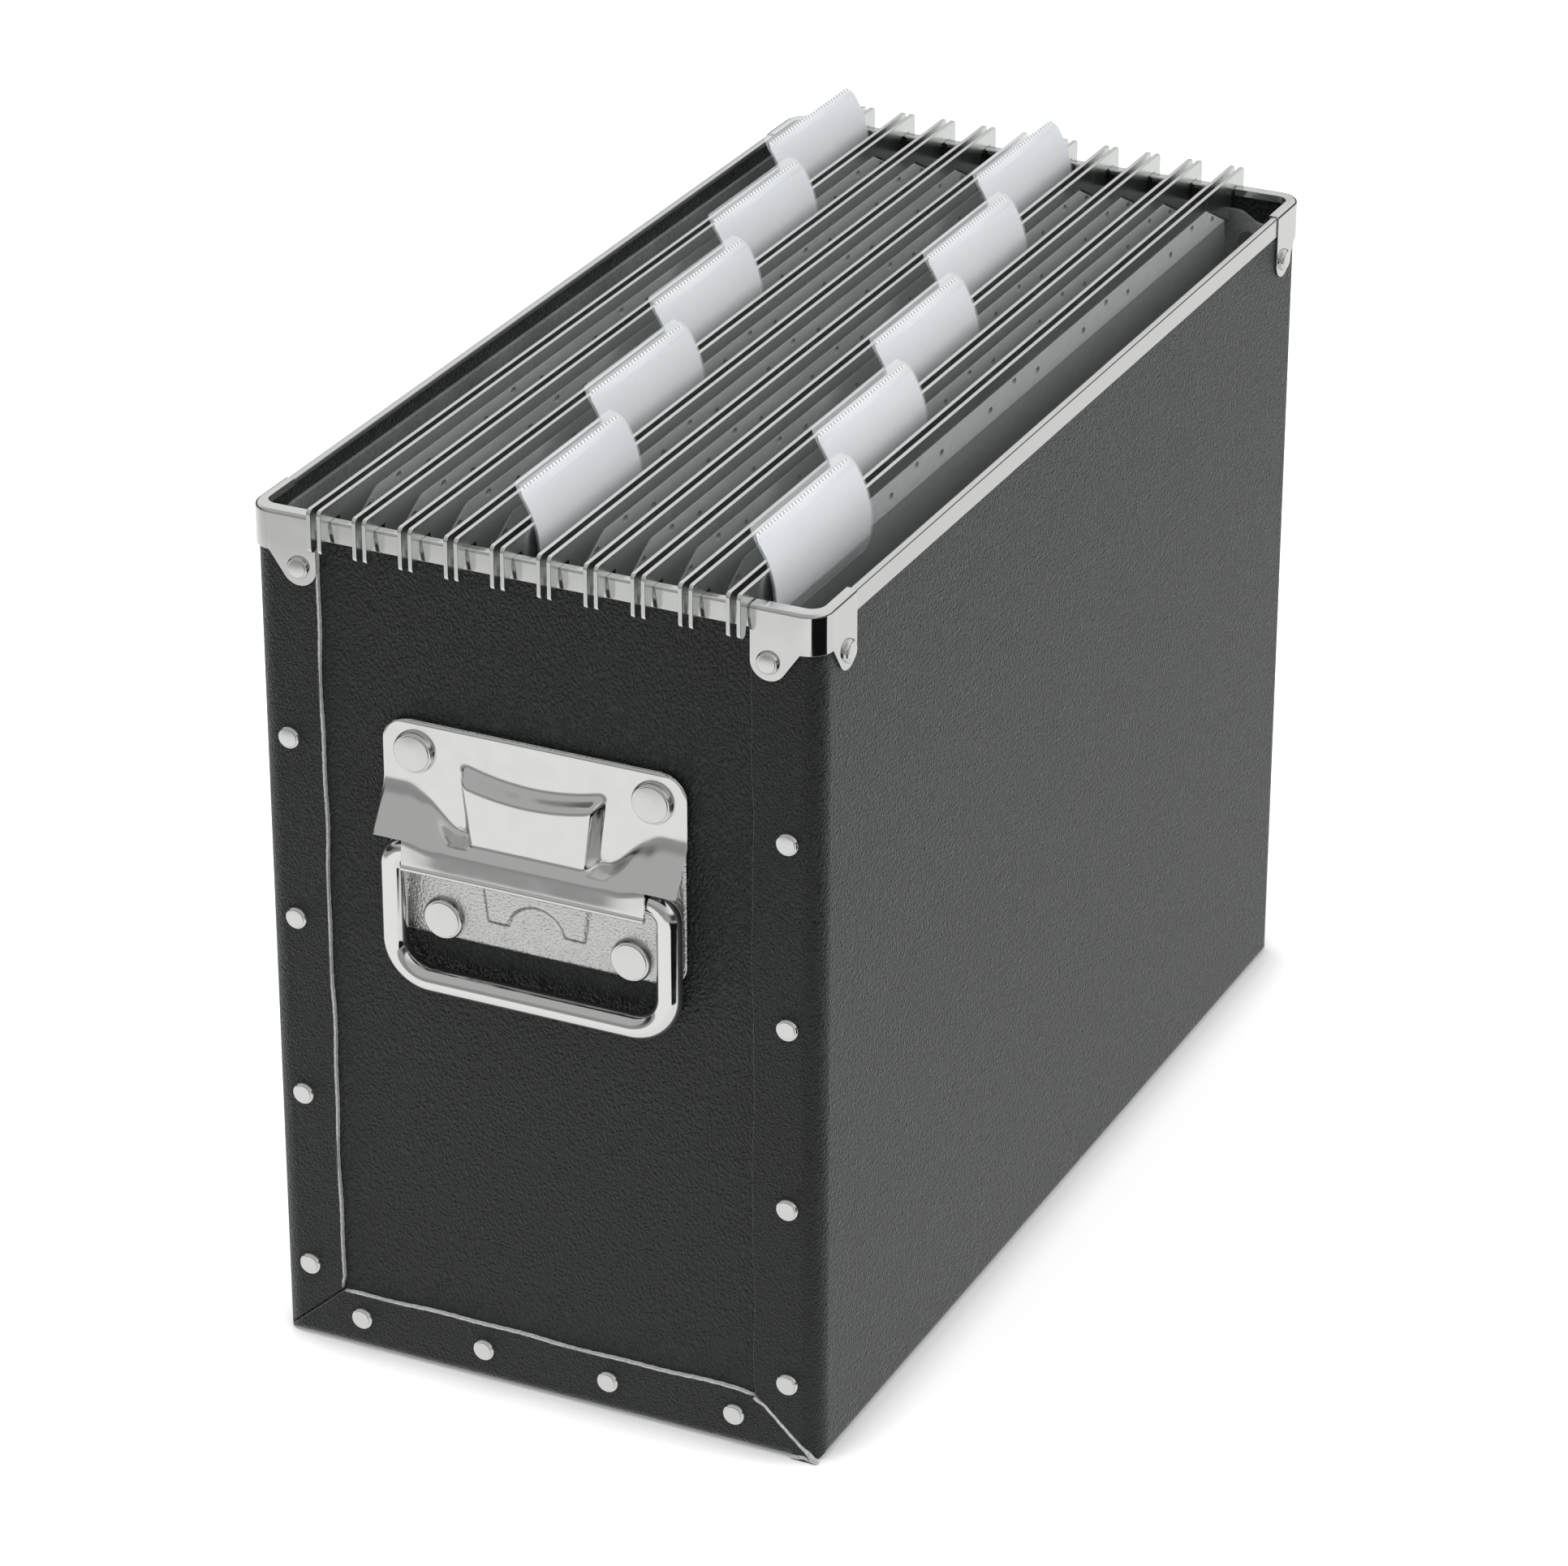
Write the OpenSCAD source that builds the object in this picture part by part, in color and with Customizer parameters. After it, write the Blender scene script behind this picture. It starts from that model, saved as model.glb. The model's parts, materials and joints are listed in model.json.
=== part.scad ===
// Portable file box: a riveted fibreboard box with plated rims, corner caps and two
// drop handles, filled with suspension files that hang from its end rims.
// Millimetres. X runs across the width, Y along the length, Z up from the floor.
// The origin is on the floor under the middle of the box.

/* [Box] */
// Length of the board box over its end flaps
box_l = 334; // [320:1:350]
// Width of the board box over its side walls
box_w = 166; // [160:1:180]
// Height from the floor to the top of the rims
box_h = 252; // [246:1:280]
// Thickness of the folded board
board_t = 1.4; // [1:0.1:1.8]
// Outside radius of the four upright folds
fold_r = 6; // [5:0.5:7]
// Outside radius of the folds round the base
base_fold_r = 3; // [2.5:0.5:4]
// Width of the upright flaps on each end
side_flap_w = 19; // [17:0.5:22]
// Height of the base flap on each end
base_flap_h = 17; // [15:0.5:20]
// Slit between an upright flap and the base flap
mitre_gap = 0.8; // [0.5:0.1:1.5]
// Thickness of the end panels behind the flaps
panel_t = 1.2; // [0.8:0.1:2]

/* [Lining] */
// Thickness of the grey lining boards
lining_t = 1.2; // [0.8:0.1:1.6]
// Drop from the top of the rims to the top edge of the lining
lining_drop = 6; // [5:0.5:8]
// Further drop of the lining at each upright corner, under the caps
lining_step = 3.5; // [2:0.5:4]
// Length over which the top edge of the lining drops
lining_step_l = 8; // [6:0.5:10]

/* [Rims and corner caps] */
// Thickness of the folded metal of the rims
rim_t = 0.4; // [0.3:0.1:0.6]
// Depth of the outer skirts of the rims
rim_h = 6; // [5:0.5:7]
// Depth of the inner skirts of the rims
rim_inner_h = 1.6; // [1.2:0.1:2.5]
// Outside radius of the upper outer edge of the rims
rim_bend_r = 0.7; // [0.5:0.1:0.9]
// Thickness of the pressed metal of the corner caps
cap_t = 0.4; // [0.3:0.1:0.6]
// Depth of a cap at the corner itself
cap_h = 11.2; // [9:0.2:13]
// Distance from the outside of the corner to the rivet of an ear
ear_inset = 15.4; // [14:0.2:17]
// Drop from the top of the rims to the rivet of an ear
ear_drop = 14.8; // [14:0.2:17]
// Radius of the rounded end of an ear
ear_r = 5.2; // [4.6:0.1:6]

/* [Seam rivets] */
// Diameter of the head of a seam or cap rivet
rivet_d = 6.6; // [5.5:0.1:7.5]
// Height of the domed head of a seam or cap rivet
rivet_head_h = 1.4; // [1:0.1:2]
// Diameter of the shank of a seam or cap rivet
rivet_shank_d = 3.2; // [2.5:0.1:3.6]
// Distance from the side of the box to the rivets of the upright flaps
flap_rivet_inset = 9.4; // [8.6:0.2:11]
// Height of the lowest rivet of an upright flap
flap_rivet_low = 23.5; // [21.5:0.5:30]
// Distance between the rivets of an upright flap
flap_rivet_pitch = 54.3; // [45:0.1:58]
// Height of the rivets of the base flap
base_rivet_z = 9.8; // [8:0.2:12]
// Distance between the rivets of the base flap
base_rivet_pitch = 38.4; // [30:0.2:42]

/* [Handles] */
// Width of a handle's cover plate
handle_w = 90; // [84:1:100]
// Drop from the top of the rims to the top of a handle
handle_drop = 53; // [45:1:60]
// Height of a handle's base plate
handle_base_h = 62.5; // [60:0.5:66]
// Thickness of both handle plates
handle_t = 1; // [0.8:0.1:1.2]
// Corner radius of the handle plates
handle_corner_r = 7; // [5:0.5:9]
// Drop from the top of a handle to the axis of its bail
pivot_drop = 36; // [34:0.5:38]
// Diameter of the bent rod of a bail
bail_d = 7; // [6:0.1:7.6]
// Clearance round the rod inside the housing
bail_clear = 0.5; // [0.4:0.1:0.8]
// Distance from the axis of a bail to the middle of its grip
bail_reach = 38; // [34:1:44]
// Distance from the side of a handle to the leg of its bail
bail_inset = 0.5; // [0.3:0.1:2.5]
// Bend radius of the lower corners of a bail, at the middle of the rod
bail_corner_r = 11; // [9:0.5:14]
// Distance that each rod end reaches into the housing
bail_stub_l = 15; // [12:1:18]
// Depth to which the panel on a handle's cover plate is pressed out
cover_press = 4.4; // [3:0.1:5]
// Depth to which the shape on a handle's base plate is pressed out
base_press = 1.4; // [0.8:0.1:1.6]
// Diameter of the head of a handle rivet
handle_rivet_d = 12.2; // [10:0.2:12.6]
// Height of the head of a handle rivet
handle_rivet_h = 2.2; // [1.6:0.1:2.6]
// Height of the straight edge of a handle rivet's head
handle_rivet_edge = 1; // [0.6:0.1:1.4]
// Diameter of the shank of a handle rivet
handle_shank_d = 5; // [4:0.2:6]
// Distance between the two upper handle rivets
upper_rivet_span = 70.4; // [66:0.2:72]
// Distance between the two lower handle rivets
lower_rivet_span = 56; // [52:0.5:58]

/* [Suspension files] */
// Number of files
file_count = 10; // [8:1:10]
// Space between an outer file and the corner caps
file_end_gap = 0.3; // [0.3:0.1:1]
// Distance between the middles of the two rails of a file
rail_gap = 3; // [2.8:0.1:3.4]
// Thickness of a rail
rail_t = 1.2; // [1.1:0.1:1.4]
// Height of a rail between its hooks
rail_h = 4; // [3.6:0.1:4.4]
// Height of the rails above the top of the rims
rail_rise = 4.6; // [4.2:0.1:5.5]
// Length of the outer prong of a hook along the box
prong_w = 4.4; // [3.5:0.1:5]
// Depth of the outer prong below the top of the rims
prong_drop = 8; // [7:0.2:10]
// Depth of the inner plate of a hook below the top of the rims
plate_drop = 9.4; // [8:0.2:11]
// Length of the sloping edge of the inner plate of a hook
plate_l = 19; // [16:1:20]
// Narrowing of the outer prong of a hook towards its tip
prong_taper = 1.4; // [0.8:0.1:2]
// Play between the outer prong of a hook and the rim
hook_play = 0.5; // [0.3:0.1:0.8]
// Play between the inner plate of a hook and the rim
plate_play = 2; // [1:0.1:2.5]

/* [Pockets] */
// Thickness of the card
card_t = 0.5; // [0.4:0.05:0.6]
// Distance from the top of the rails to the lower edge of the hem
hem_h = 12; // [11.6:0.2:14]
// Outside width of a pocket at its foot
pocket_w = 8; // [7.4:0.1:8.6]
// Distance over which a pocket widens below its hem
flare_h = 40; // [30:1:60]
// Space between a pocket and the lining at each end
pocket_end_gap = 5.4; // [4:0.2:8]
// Space between a pocket and the lining under it
pocket_foot_gap = 9.4; // [6:0.2:14]
// Length of a slot in the hem
slot_l = 2.8; // [2.4:0.1:3.2]
// Height of a slot in the hem
slot_h = 2; // [1.8:0.1:2.2]
// Distance from the end of a pocket to the outermost slot
slot_inset = 11.2; // [10.6:0.1:14]
// Drop from the top of the hem to the higher slots
slot_high = 1.6; // [1.4:0.1:2]
// Drop from the higher slots to the lower ones
slot_step = 2.6; // [2.4:0.1:3]

/* [Index tabs] */
// Width of an index tab
tab_w = 58; // [50:1:60]
// Height of an index tab
tab_h = 26.5; // [24:0.5:28]
// Height of the top of the tabs above the rails
tab_rise = 10.9; // [9:0.1:12]
// Wall thickness of the clear tab sleeve
tab_wall = 0.3; // [0.25:0.05:0.4]
// Thickness of the paper label
label_t = 0.3; // [0.2:0.05:0.4]
// Margin between the label and each end of its sleeve
label_margin = 2; // [1:0.5:4]
// Radius of the corners of an index tab
tab_corner_r = 5; // [3:0.5:6]
// Lean of the top edge of a tab from upright, in degrees
tab_lean = 45; // [38:1:48]
// Lean of the bottom edge of a tab the other way, in degrees
tab_kick = 16; // [12:1:18]
// Distance from the middle slot of a tab to the middle of the tab
tab_shift = 3; // [0:0.5:3.5]

/* [Hidden] */
$fn = 48;
fit = 0.1;
thin = 0.05;
over = 1;
seat = 0.3;
end_y = box_l / 2;
side_x = box_w / 2;
wall_top = box_h - rim_t;
panel_out = end_y - board_t;
panel_in = panel_out - panel_t;
end_lining_in = panel_in - lining_t;
side_in = side_x - board_t;
side_lining_in = side_in - lining_t;
panel_half_w = side_x - fold_r - fit;
foot_z = base_fold_r + fit;
lining_top = box_h - lining_drop;
inner_fold_r = fold_r - board_t;
end_lining_half_w = min(
    side_lining_in - seat,
    side_x - fold_r + sqrt(pow(inner_fold_r, 2) - pow(inner_fold_r - panel_t, 2)) - seat
);

// Rims and caps
end_wall_t = board_t + panel_t;
rim_end = 1;
rim_in_y = panel_in - rim_t;
end_rim_half = side_x - fold_r - rim_end;
side_rim_half = end_y - fold_r - rim_end;
cap_out = rim_t + cap_t;
cap_top = box_h + cap_t;
cap_leg = ear_inset + ear_r;
cap_inner_h = rim_inner_h + 0.2;
cap_leg_x = side_x + cap_out - cap_leg;
cap_leg_y = -end_y - cap_out + cap_leg;
mouth_x = side_in - rim_t - cap_t;
mouth_y = -(rim_in_y - cap_t);
mouth_r = fold_r - board_t - rim_t - cap_t;
ear_z = box_h - ear_drop;
cap_low_z = box_h - cap_h;
ear_slope = 35;
ear_x = side_x + cap_out - ear_inset;
ear_y = end_y + cap_out - ear_inset;

// Seam rivets
rivet_tail_wall = 1.2;
rivet_tail_d = rivet_shank_d + 2 * rivet_tail_wall;
rivet_tail_h = 0.8;
rivet_tail_bore = 1.8;
flap_rivet_x = side_x - flap_rivet_inset;
seam_points = concat(
    [for (s = [-1, 1], k = [0:3]) [s * flap_rivet_x, flap_rivet_low + k * flap_rivet_pitch]],
    [for (k = [-1.5:1.5]) [k * base_rivet_pitch, base_rivet_z]]
);

// Handles
handle_top = box_h - handle_drop;
base_plate_w = handle_w - 2;
base_plate_low = handle_top - handle_base_h;
plate_back = panel_out;
plate_front = plate_back + handle_t;
cover_front = plate_front + handle_t;
pivot_z = handle_top - pivot_drop;
pivot_y = plate_front + bail_clear + bail_d / 2;
housing_in = pivot_y + bail_d / 2 + bail_clear;
housing_out = housing_in + handle_t;
ear_gap = 0.7;
housing_ear_z = pivot_z + bail_d / 2 + ear_gap;
housing_low_z = pivot_z - bail_d / 2;
housing_shoulder_z = housing_ear_z + 1.3;
housing_top_z = housing_shoulder_z + (housing_out - cover_front);
bail_bend_r = 5.5;
leg_x = handle_w / 2 - bail_inset - bail_d / 2;
housing_half = leg_x - bail_bend_r + 0.5;
pad_margin = 23.5;
pad_taper = 3;
cup_margin = 27;
cup_taper = 3;
upper_rivet_z = handle_top - handle_rivet_d / 2 - 2.5;
lower_rivet_z = base_plate_low + handle_rivet_d / 2 - 0.4;
handle_tail_h = 1.2;
upper_points = [for (s = [-1, 1]) [s * upper_rivet_span / 2, upper_rivet_z]];
lower_points = [for (s = [-1, 1]) [s * lower_rivet_span / 2, lower_rivet_z]];

// Files
rail_top = box_h + rail_rise;
rail_low = rail_top - rail_h;
rail_in = rail_gap / 2 - rail_t / 2;
rail_out = rail_gap / 2 + rail_t / 2;
file_reach = cap_leg_x - file_end_gap - rail_out;
file_x = [for (i = [0:file_count - 1]) file_reach * (2 * i / (file_count - 1) - 1)];
card_in = rail_gap / 2 - card_t / 2;
card_out = card_in + card_t;
hem_out = card_out + card_t;
card_top = rail_top - 1;
hem_low = rail_top - hem_h;
hem_top = rail_low - fit;
rim_out_y = end_y + rim_t;
notch_out = rim_out_y + hook_play;
notch_in = rim_in_y - plate_play;
hook_end = notch_out + prong_w;
hook_corner_r = 1.5;
plate_z = box_h - plate_drop;
plate_end = notch_in - plate_l;
pocket_half_l = end_lining_in - pocket_end_gap;
pocket_foot = board_t + lining_t + pocket_foot_gap;
foot_out = pocket_w / 2;
foot_in = foot_out - card_t;
flare_z = hem_low - flare_h;
cut_gap = 0.6;
slot_groups = 2;
slot_pitch = (pocket_half_l - slot_inset) / (4 * slot_groups + 1);
slot_z = [hem_top - slot_high, hem_top - slot_high - slot_step];

// Index tabs: a sleeve bent on one radius, from the kicked-out foot to the leaning top
tab_radius = tab_h / (sin(tab_lean) + sin(tab_kick));
sleeve_half = tab_wall + thin + label_t / 2 + thin;
bow_z = rail_top + tab_rise - tab_radius * sin(tab_lean);
rail_lean = asin((rail_top - bow_z) / tab_radius);
bow_x = rail_out + seat + sleeve_half + tab_radius * (1 - cos(rail_lean));
peg_l = slot_l - 1;
peg_h = slot_h - 0.8;
sleeve_wall_x = bow_x - tab_radius - sleeve_half + tab_wall / 2;
peg_tip = card_in - seat;
sleeve_end = 1.5;
label_end = 2.2;

// Plan of a box with four rounded upright corners
module round_plan(w, l, r) {
    square([w - 2 * r, l], center = true);
    square([w, l - 2 * r], center = true);
    for (sx = [-1, 1], sy = [-1, 1])
        translate([sx * (w / 2 - r), sy * (l / 2 - r)]) circle(r);
}

// Section of a tray: flat foot, two rounded lower corners, straight sides
module tray_section(w, h, r) {
    translate([-w / 2, r]) square([w, h - r]);
    translate([-w / 2 + r, 0]) square([w - 2 * r, h]);
    for (s = [-1, 1]) translate([s * (w / 2 - r), r]) circle(r);
}

// Solid with rounded uprights and rounded edges all round its foot
module tub(w, l, h, upright_r, foot_r) {
    intersection() {
        linear_extrude(h) round_plan(w, l, upright_r);
        translate([0, l, 0]) rotate([90, 0, 0]) linear_extrude(2 * l) tray_section(w, h, foot_r);
        rotate([90, 0, 90]) translate([0, 0, -w]) linear_extrude(2 * w) tray_section(l, h, foot_r);
    }
}

// A flat shape in X and Z, given depth from y0 to y1
module along_y(y0, y1) {
    translate([0, y1, 0]) rotate([90, 0, 0]) linear_extrude(y1 - y0) children();
}

// A flat shape in Y and Z, given depth from x0 to x1
module along_x(x0, x1) {
    translate([x0, 0, 0]) rotate([90, 0, 90]) linear_extrude(x1 - x0) children();
}

// Both ends of the box: the front as drawn, the rear turned half round
module both_ends() {
    children();
    rotate([0, 0, 180]) children();
}

// Holes through an end wall, from inside the box to outside it
module end_holes(points, d) {
    for (p = points)
        translate([p[0], -end_y - over - handle_t * 2, p[1]])
            rotate([-90, 0, 0]) cylinder(d = d, h = end_y - end_lining_in + 3 * over + handle_t * 2);
}

// Holes for the cap rivets in the end walls and in the side walls
module cap_end_holes() {
    end_holes([for (s = [-1, 1]) [s * ear_x, ear_z]], rivet_shank_d + 2 * fit);
}

module cap_side_holes() {
    for (sy = [-1, 1])
        translate([-side_x - over, sy * ear_y, ear_z])
            rotate([0, 90, 0]) cylinder(d = rivet_shank_d + 2 * fit, h = 2 * side_x + 2 * over);
}

// What the flaps leave open on an end, and the slits of their mitres
module flap_window() {
    inner_x = side_x - side_flap_w;
    slope = atan2(base_flap_h, side_flap_w);
    slit_l = norm([base_flap_h, side_flap_w]);
    polygon([[-inner_x, base_flap_h], [inner_x, base_flap_h], [inner_x, box_h], [-inner_x, box_h]]);
    for (s = [0, 1])
        mirror([s, 0])
            translate([inner_x, base_flap_h]) rotate(-slope)
                translate([-mitre_gap, -mitre_gap / 2]) square([slit_l + mitre_gap, mitre_gap]);
}

module body_sheet() {
    color("#2b2c2e") difference() {
        tub(box_w, box_l, wall_top, fold_r, base_fold_r);
        translate([0, 0, board_t])
            tub(box_w - 2 * board_t, box_l - 2 * board_t, box_h, fold_r - board_t, base_fold_r - board_t);
        both_ends() {
            along_y(-end_y - over, -panel_out + thin) flap_window();
            end_holes(seam_points, rivet_shank_d + 2 * fit);
            cap_end_holes();
        }
        cap_side_holes();
    }
}

module end_panel() {
    color("#26282a") difference() {
        translate([-panel_half_w, -panel_out, foot_z])
            cube([2 * panel_half_w, panel_t, wall_top - foot_z]);
        end_holes(seam_points, rivet_shank_d + 2 * fit);
        end_holes(concat(upper_points, lower_points), handle_shank_d + 2 * fit);
        cap_end_holes();
    }
}

// A lining board whose top edge drops in a wave over the cap rivets, towards each upright corner
module wave_board(half_w, rivet_at) {
    steps = 8;
    wave = [for (k = [0:steps]) [
        rivet_at + lining_step_l * (k / steps - 0.5),
        lining_top - lining_step * (1 - cos(180 * k / steps)) / 2
    ]];
    polygon(concat(
        [[-half_w, foot_z], [half_w, foot_z], [half_w, lining_top - lining_step]],
        [for (k = [steps:-1:0]) wave[k]],
        [for (p = wave) [-p[0], p[1]]],
        [[-half_w, lining_top - lining_step]]
    ));
}

module lining_boards() {
    color("#8b8e90") {
        translate([-side_x + base_fold_r + fit, -end_y + base_fold_r + fit, board_t])
            cube([2 * (side_x - base_fold_r - fit), 2 * (end_y - base_fold_r - fit), lining_t]);
        both_ends() difference() {
            along_y(-panel_in, -end_lining_in) wave_board(end_lining_half_w, ear_x);
            end_holes(seam_points, rivet_shank_d + 2 * fit);
            end_holes(concat(upper_points, lower_points), handle_shank_d + 2 * fit);
            cap_end_holes();
        }
        both_ends() difference() {
            along_x(side_lining_in, side_in) wave_board(end_y - fold_r, ear_y);
            cap_side_holes();
        }
    }
}

// Section of a rim over a wall: the wall's outer face is at zero and its top under the rim
module rim_section(wall) {
    difference() {
        union() {
            translate([-wall - rim_t, -rim_inner_h]) square([wall + rim_t, rim_inner_h - rim_bend_r]);
            translate([-wall - rim_t + rim_bend_r, -rim_inner_h])
                square([wall + 2 * (rim_t - rim_bend_r), rim_inner_h]);
            translate([0, -rim_h]) square([rim_t, rim_h - rim_bend_r]);
            for (x = [rim_bend_r - wall - rim_t, rim_t - rim_bend_r])
                translate([x, -rim_bend_r]) circle(rim_bend_r);
        }
        translate([-wall, -rim_h - over]) square([wall, rim_h + over - rim_t]);
    }
}

module end_rim() {
    color("#d6d8d8")
        translate([-end_rim_half, 0, 0]) rotate([90, 0, 90]) linear_extrude(2 * end_rim_half)
            mirror([1, 0]) translate([end_y, box_h]) rim_section(end_wall_t);
}

module side_rim() {
    color("#d6d8d8")
        translate([0, side_rim_half, 0]) rotate([90, 0, 0]) linear_extrude(2 * side_rim_half)
            translate([side_x, box_h]) rim_section(board_t);
}

// Side view of a cap: x is the distance from the outside of the corner, y the height
module cap_outline() {
    slope_x = ear_r * cos(ear_slope);
    slope_y = ear_r * sin(ear_slope);
    foot_s = ear_inset - slope_x - (cap_low_z - ear_z + slope_y) * tan(ear_slope);
    translate([-over, cap_low_z]) square([cap_leg + over, box_h + over * 2 - cap_low_z]);
    translate([ear_inset, ear_z]) circle(ear_r);
    polygon([
        [foot_s, cap_low_z], [ear_inset - slope_x, ear_z - slope_y], [ear_inset, ear_z],
        [cap_leg, ear_z], [cap_leg, cap_low_z + over], [foot_s, cap_low_z + over]
    ]);
}

// Half section of a cap's shell round the corner: r is measured from the middle of the fold
module cap_round_section(r, top, edge) {
    square([r - edge, top]);
    square([r, top - edge]);
    translate([r - edge, top - edge]) circle(edge);
}

// Solid of a cap round the front right corner, out to radius r and up to a height
module cap_block(r, top, edge) {
    low = ear_z - ear_r - over;
    reach = cap_leg - cap_out - fold_r;
    translate([side_x - fold_r, -end_y + fold_r, low]) {
        rotate([0, 0, -90]) rotate_extrude(angle = 90) cap_round_section(r, top - low, edge);
        translate([-reach, 0, 0]) rotate([90, 0, 90]) linear_extrude(reach)
            mirror([1, 0]) cap_round_section(r, top - low, edge);
        translate([0, reach, 0]) rotate([90, 0, 0]) linear_extrude(reach)
            cap_round_section(r, top - low, edge);
    }
}

// Plan of the mouth of the box under a cap, with its round corner, grown outwards and past the legs
module cap_mouth(grow, past) {
    r = mouth_r + grow;
    x = mouth_x + grow;
    y = mouth_y - grow;
    left = cap_leg_x - past;
    far = cap_leg_y + past;
    translate([x - r, y + r]) circle(r);
    translate([left, y]) square([x - r - left, far - y]);
    translate([left, y + r]) square([x - left, far - y - r]);
}

// Cap on the front right corner
module corner_cap() {
    out_r = fold_r + cap_out;
    skirt_z = box_h - cap_inner_h;
    color("#dcdede") difference() {
        union() {
            difference() {
                intersection() {
                    cap_block(out_r, cap_top, rim_bend_r + cap_t);
                    union() {
                        along_y(-end_y - cap_out - over, -end_y + fold_r)
                            translate([side_x + cap_out, 0]) mirror([1, 0]) cap_outline();
                        along_x(side_x - fold_r, side_x + cap_out + over)
                            translate([-end_y - cap_out, 0]) cap_outline();
                    }
                }
                cap_block(out_r - cap_t, box_h, rim_bend_r);
                linear_extrude(cap_top + over) cap_mouth(0, over);
            }
            translate([0, 0, skirt_z]) linear_extrude(cap_top - thin - skirt_z) difference() {
                cap_mouth(cap_t, 0);
                cap_mouth(0, over);
            }
        }
        translate([ear_x, -end_y - over * 3, ear_z])
            rotate([-90, 0, 0]) cylinder(d = rivet_shank_d + 2 * fit, h = over * 4);
        translate([side_x - over, -ear_y, ear_z])
            rotate([0, 90, 0]) cylinder(d = rivet_shank_d + 2 * fit, h = over * 4);
    }
}

// Rivet along +Z: its domed head sits on z = 0 and its clinched ring lies at depth grip below
module rivet(d, head_h, edge_h, shank_d, grip, tail_h) {
    dome_h = head_h - edge_h;
    dome_r = (pow(dome_h, 2) + pow(d / 2, 2)) / (2 * dome_h);
    rotate_extrude() intersection() {
        translate([0, head_h - dome_r]) circle(dome_r, $fn = 96);
        square([d / 2, head_h]);
    }
    difference() {
        translate([0, 0, -grip - tail_h]) cylinder(d = shank_d + rivet_tail_wall * 2, h = tail_h);
        translate([0, 0, -grip - tail_h - over]) cylinder(d = rivet_tail_bore, h = over + tail_h * 0.6);
    }
    translate([0, 0, -grip - thin]) cylinder(d = shank_d, h = grip + 2 * thin);
}

module seam_rivet(grip) {
    rivet(rivet_d, rivet_head_h, 0, rivet_shank_d, grip, rivet_tail_h);
}

module handle_rivet(grip) {
    rivet(handle_rivet_d, handle_rivet_h, handle_rivet_edge, handle_shank_d, grip, handle_tail_h);
}

module panel_rivets() {
    color("#c9cbcb") {
        both_ends() for (p = seam_points)
            translate([p[0], -end_y, p[1]]) rotate([90, 0, 0]) seam_rivet(end_y - end_lining_in);
        both_ends() for (s = [-1, 1])
            translate([s * ear_x, -end_y - cap_out, ear_z])
                rotate([90, 0, 0]) seam_rivet(end_wall_t + lining_t + cap_out);
        for (sx = [-1, 1], sy = [-1, 1])
            translate([sx * (side_x + cap_out), sy * ear_y, ear_z])
                rotate([0, sx * 90, 0]) seam_rivet(board_t + lining_t + cap_out);
    }
}

// Outline of a handle plate with rounded corners, hanging down from its top edge
module plate_outline(w, top, low) {
    translate([0, (top + low) / 2]) round_plan(w, top - low, handle_corner_r);
}

// Pressed cup of the base plate: a trapezoid whose foot rises in one wave
module base_cup() {
    top = housing_shoulder_z;
    low = lower_rivet_z + 1.5;
    half_top = handle_w / 2 - cup_margin;
    half_low = half_top - cup_taper;
    wave_r = 8;
    difference() {
        polygon([[-half_low, low], [half_low, low], [half_top, top], [-half_top, top]]);
        translate([0, low - 1]) circle(wave_r);
    }
}

module handle_base() {
    color("#cfd1d0") difference() {
        union() {
            along_y(-plate_front, -plate_back) plate_outline(base_plate_w, handle_top, base_plate_low);
            along_y(-plate_front - base_press, -plate_front + thin) base_cup();
        }
        end_holes(concat(upper_points, lower_points), handle_shank_d + 2 * fit);
    }
}

// Side view of the cover's housing: x is the distance from the middle of the box, y the height
module housing_section(low) {
    roof = handle_t * (sqrt(2) - 1);
    polygon([
        [plate_front, housing_top_z - roof], [housing_in, housing_shoulder_z - roof],
        [housing_in, low], [housing_out, low], [housing_out, housing_shoulder_z],
        [cover_front, housing_top_z], [cover_front, housing_top_z + over],
        [plate_front, housing_top_z + over]
    ]);
}

module housing_run(half, low) {
    mirror([0, 1, 0]) along_x(-half, half) housing_section(low);
}

// Panel pressed out of the cover plate: a trapezoid with a sagging top edge
module cover_panel(inset) {
    top = handle_top - 10;
    low = housing_top_z - cover_press - seat;
    half_top = handle_w / 2 - pad_margin - inset;
    half_low = half_top - pad_taper;
    sag_r = 50;
    difference() {
        polygon([[-half_low, low], [half_low, low], [half_top, top], [-half_top, top]]);
        translate([0, top - 4 - inset + sag_r]) circle(sag_r, $fn = 96);
    }
}

module handle_cover() {
    lip_r = 1;
    color("#dcdede") difference() {
        union() {
            along_y(-cover_front, -plate_front) intersection() {
                plate_outline(handle_w, handle_top, base_plate_low);
                translate([-handle_w, housing_top_z]) square([2 * handle_w, handle_top]);
            }
            along_y(-cover_front - cover_press, -plate_front) cover_panel(0);
            housing_run(handle_w / 2, housing_ear_z);
            housing_run(housing_half, housing_low_z);
            translate([-housing_half, -housing_out + lip_r / 2, housing_low_z])
                rotate([0, 90, 0]) cylinder(r = lip_r, h = 2 * housing_half);
        }
        along_y(-cover_front - cover_press + handle_t, -plate_front + over) cover_panel(handle_t);
        end_holes(upper_points, handle_shank_d + 2 * fit);
    }
}

// Quarter bend of a rod in the plane of the handle, from +X round to +Z
module rod_bend(r) {
    rotate([90, 0, 0]) rotate_extrude(angle = 90) translate([r, 0]) circle(d = bail_d);
}

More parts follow.
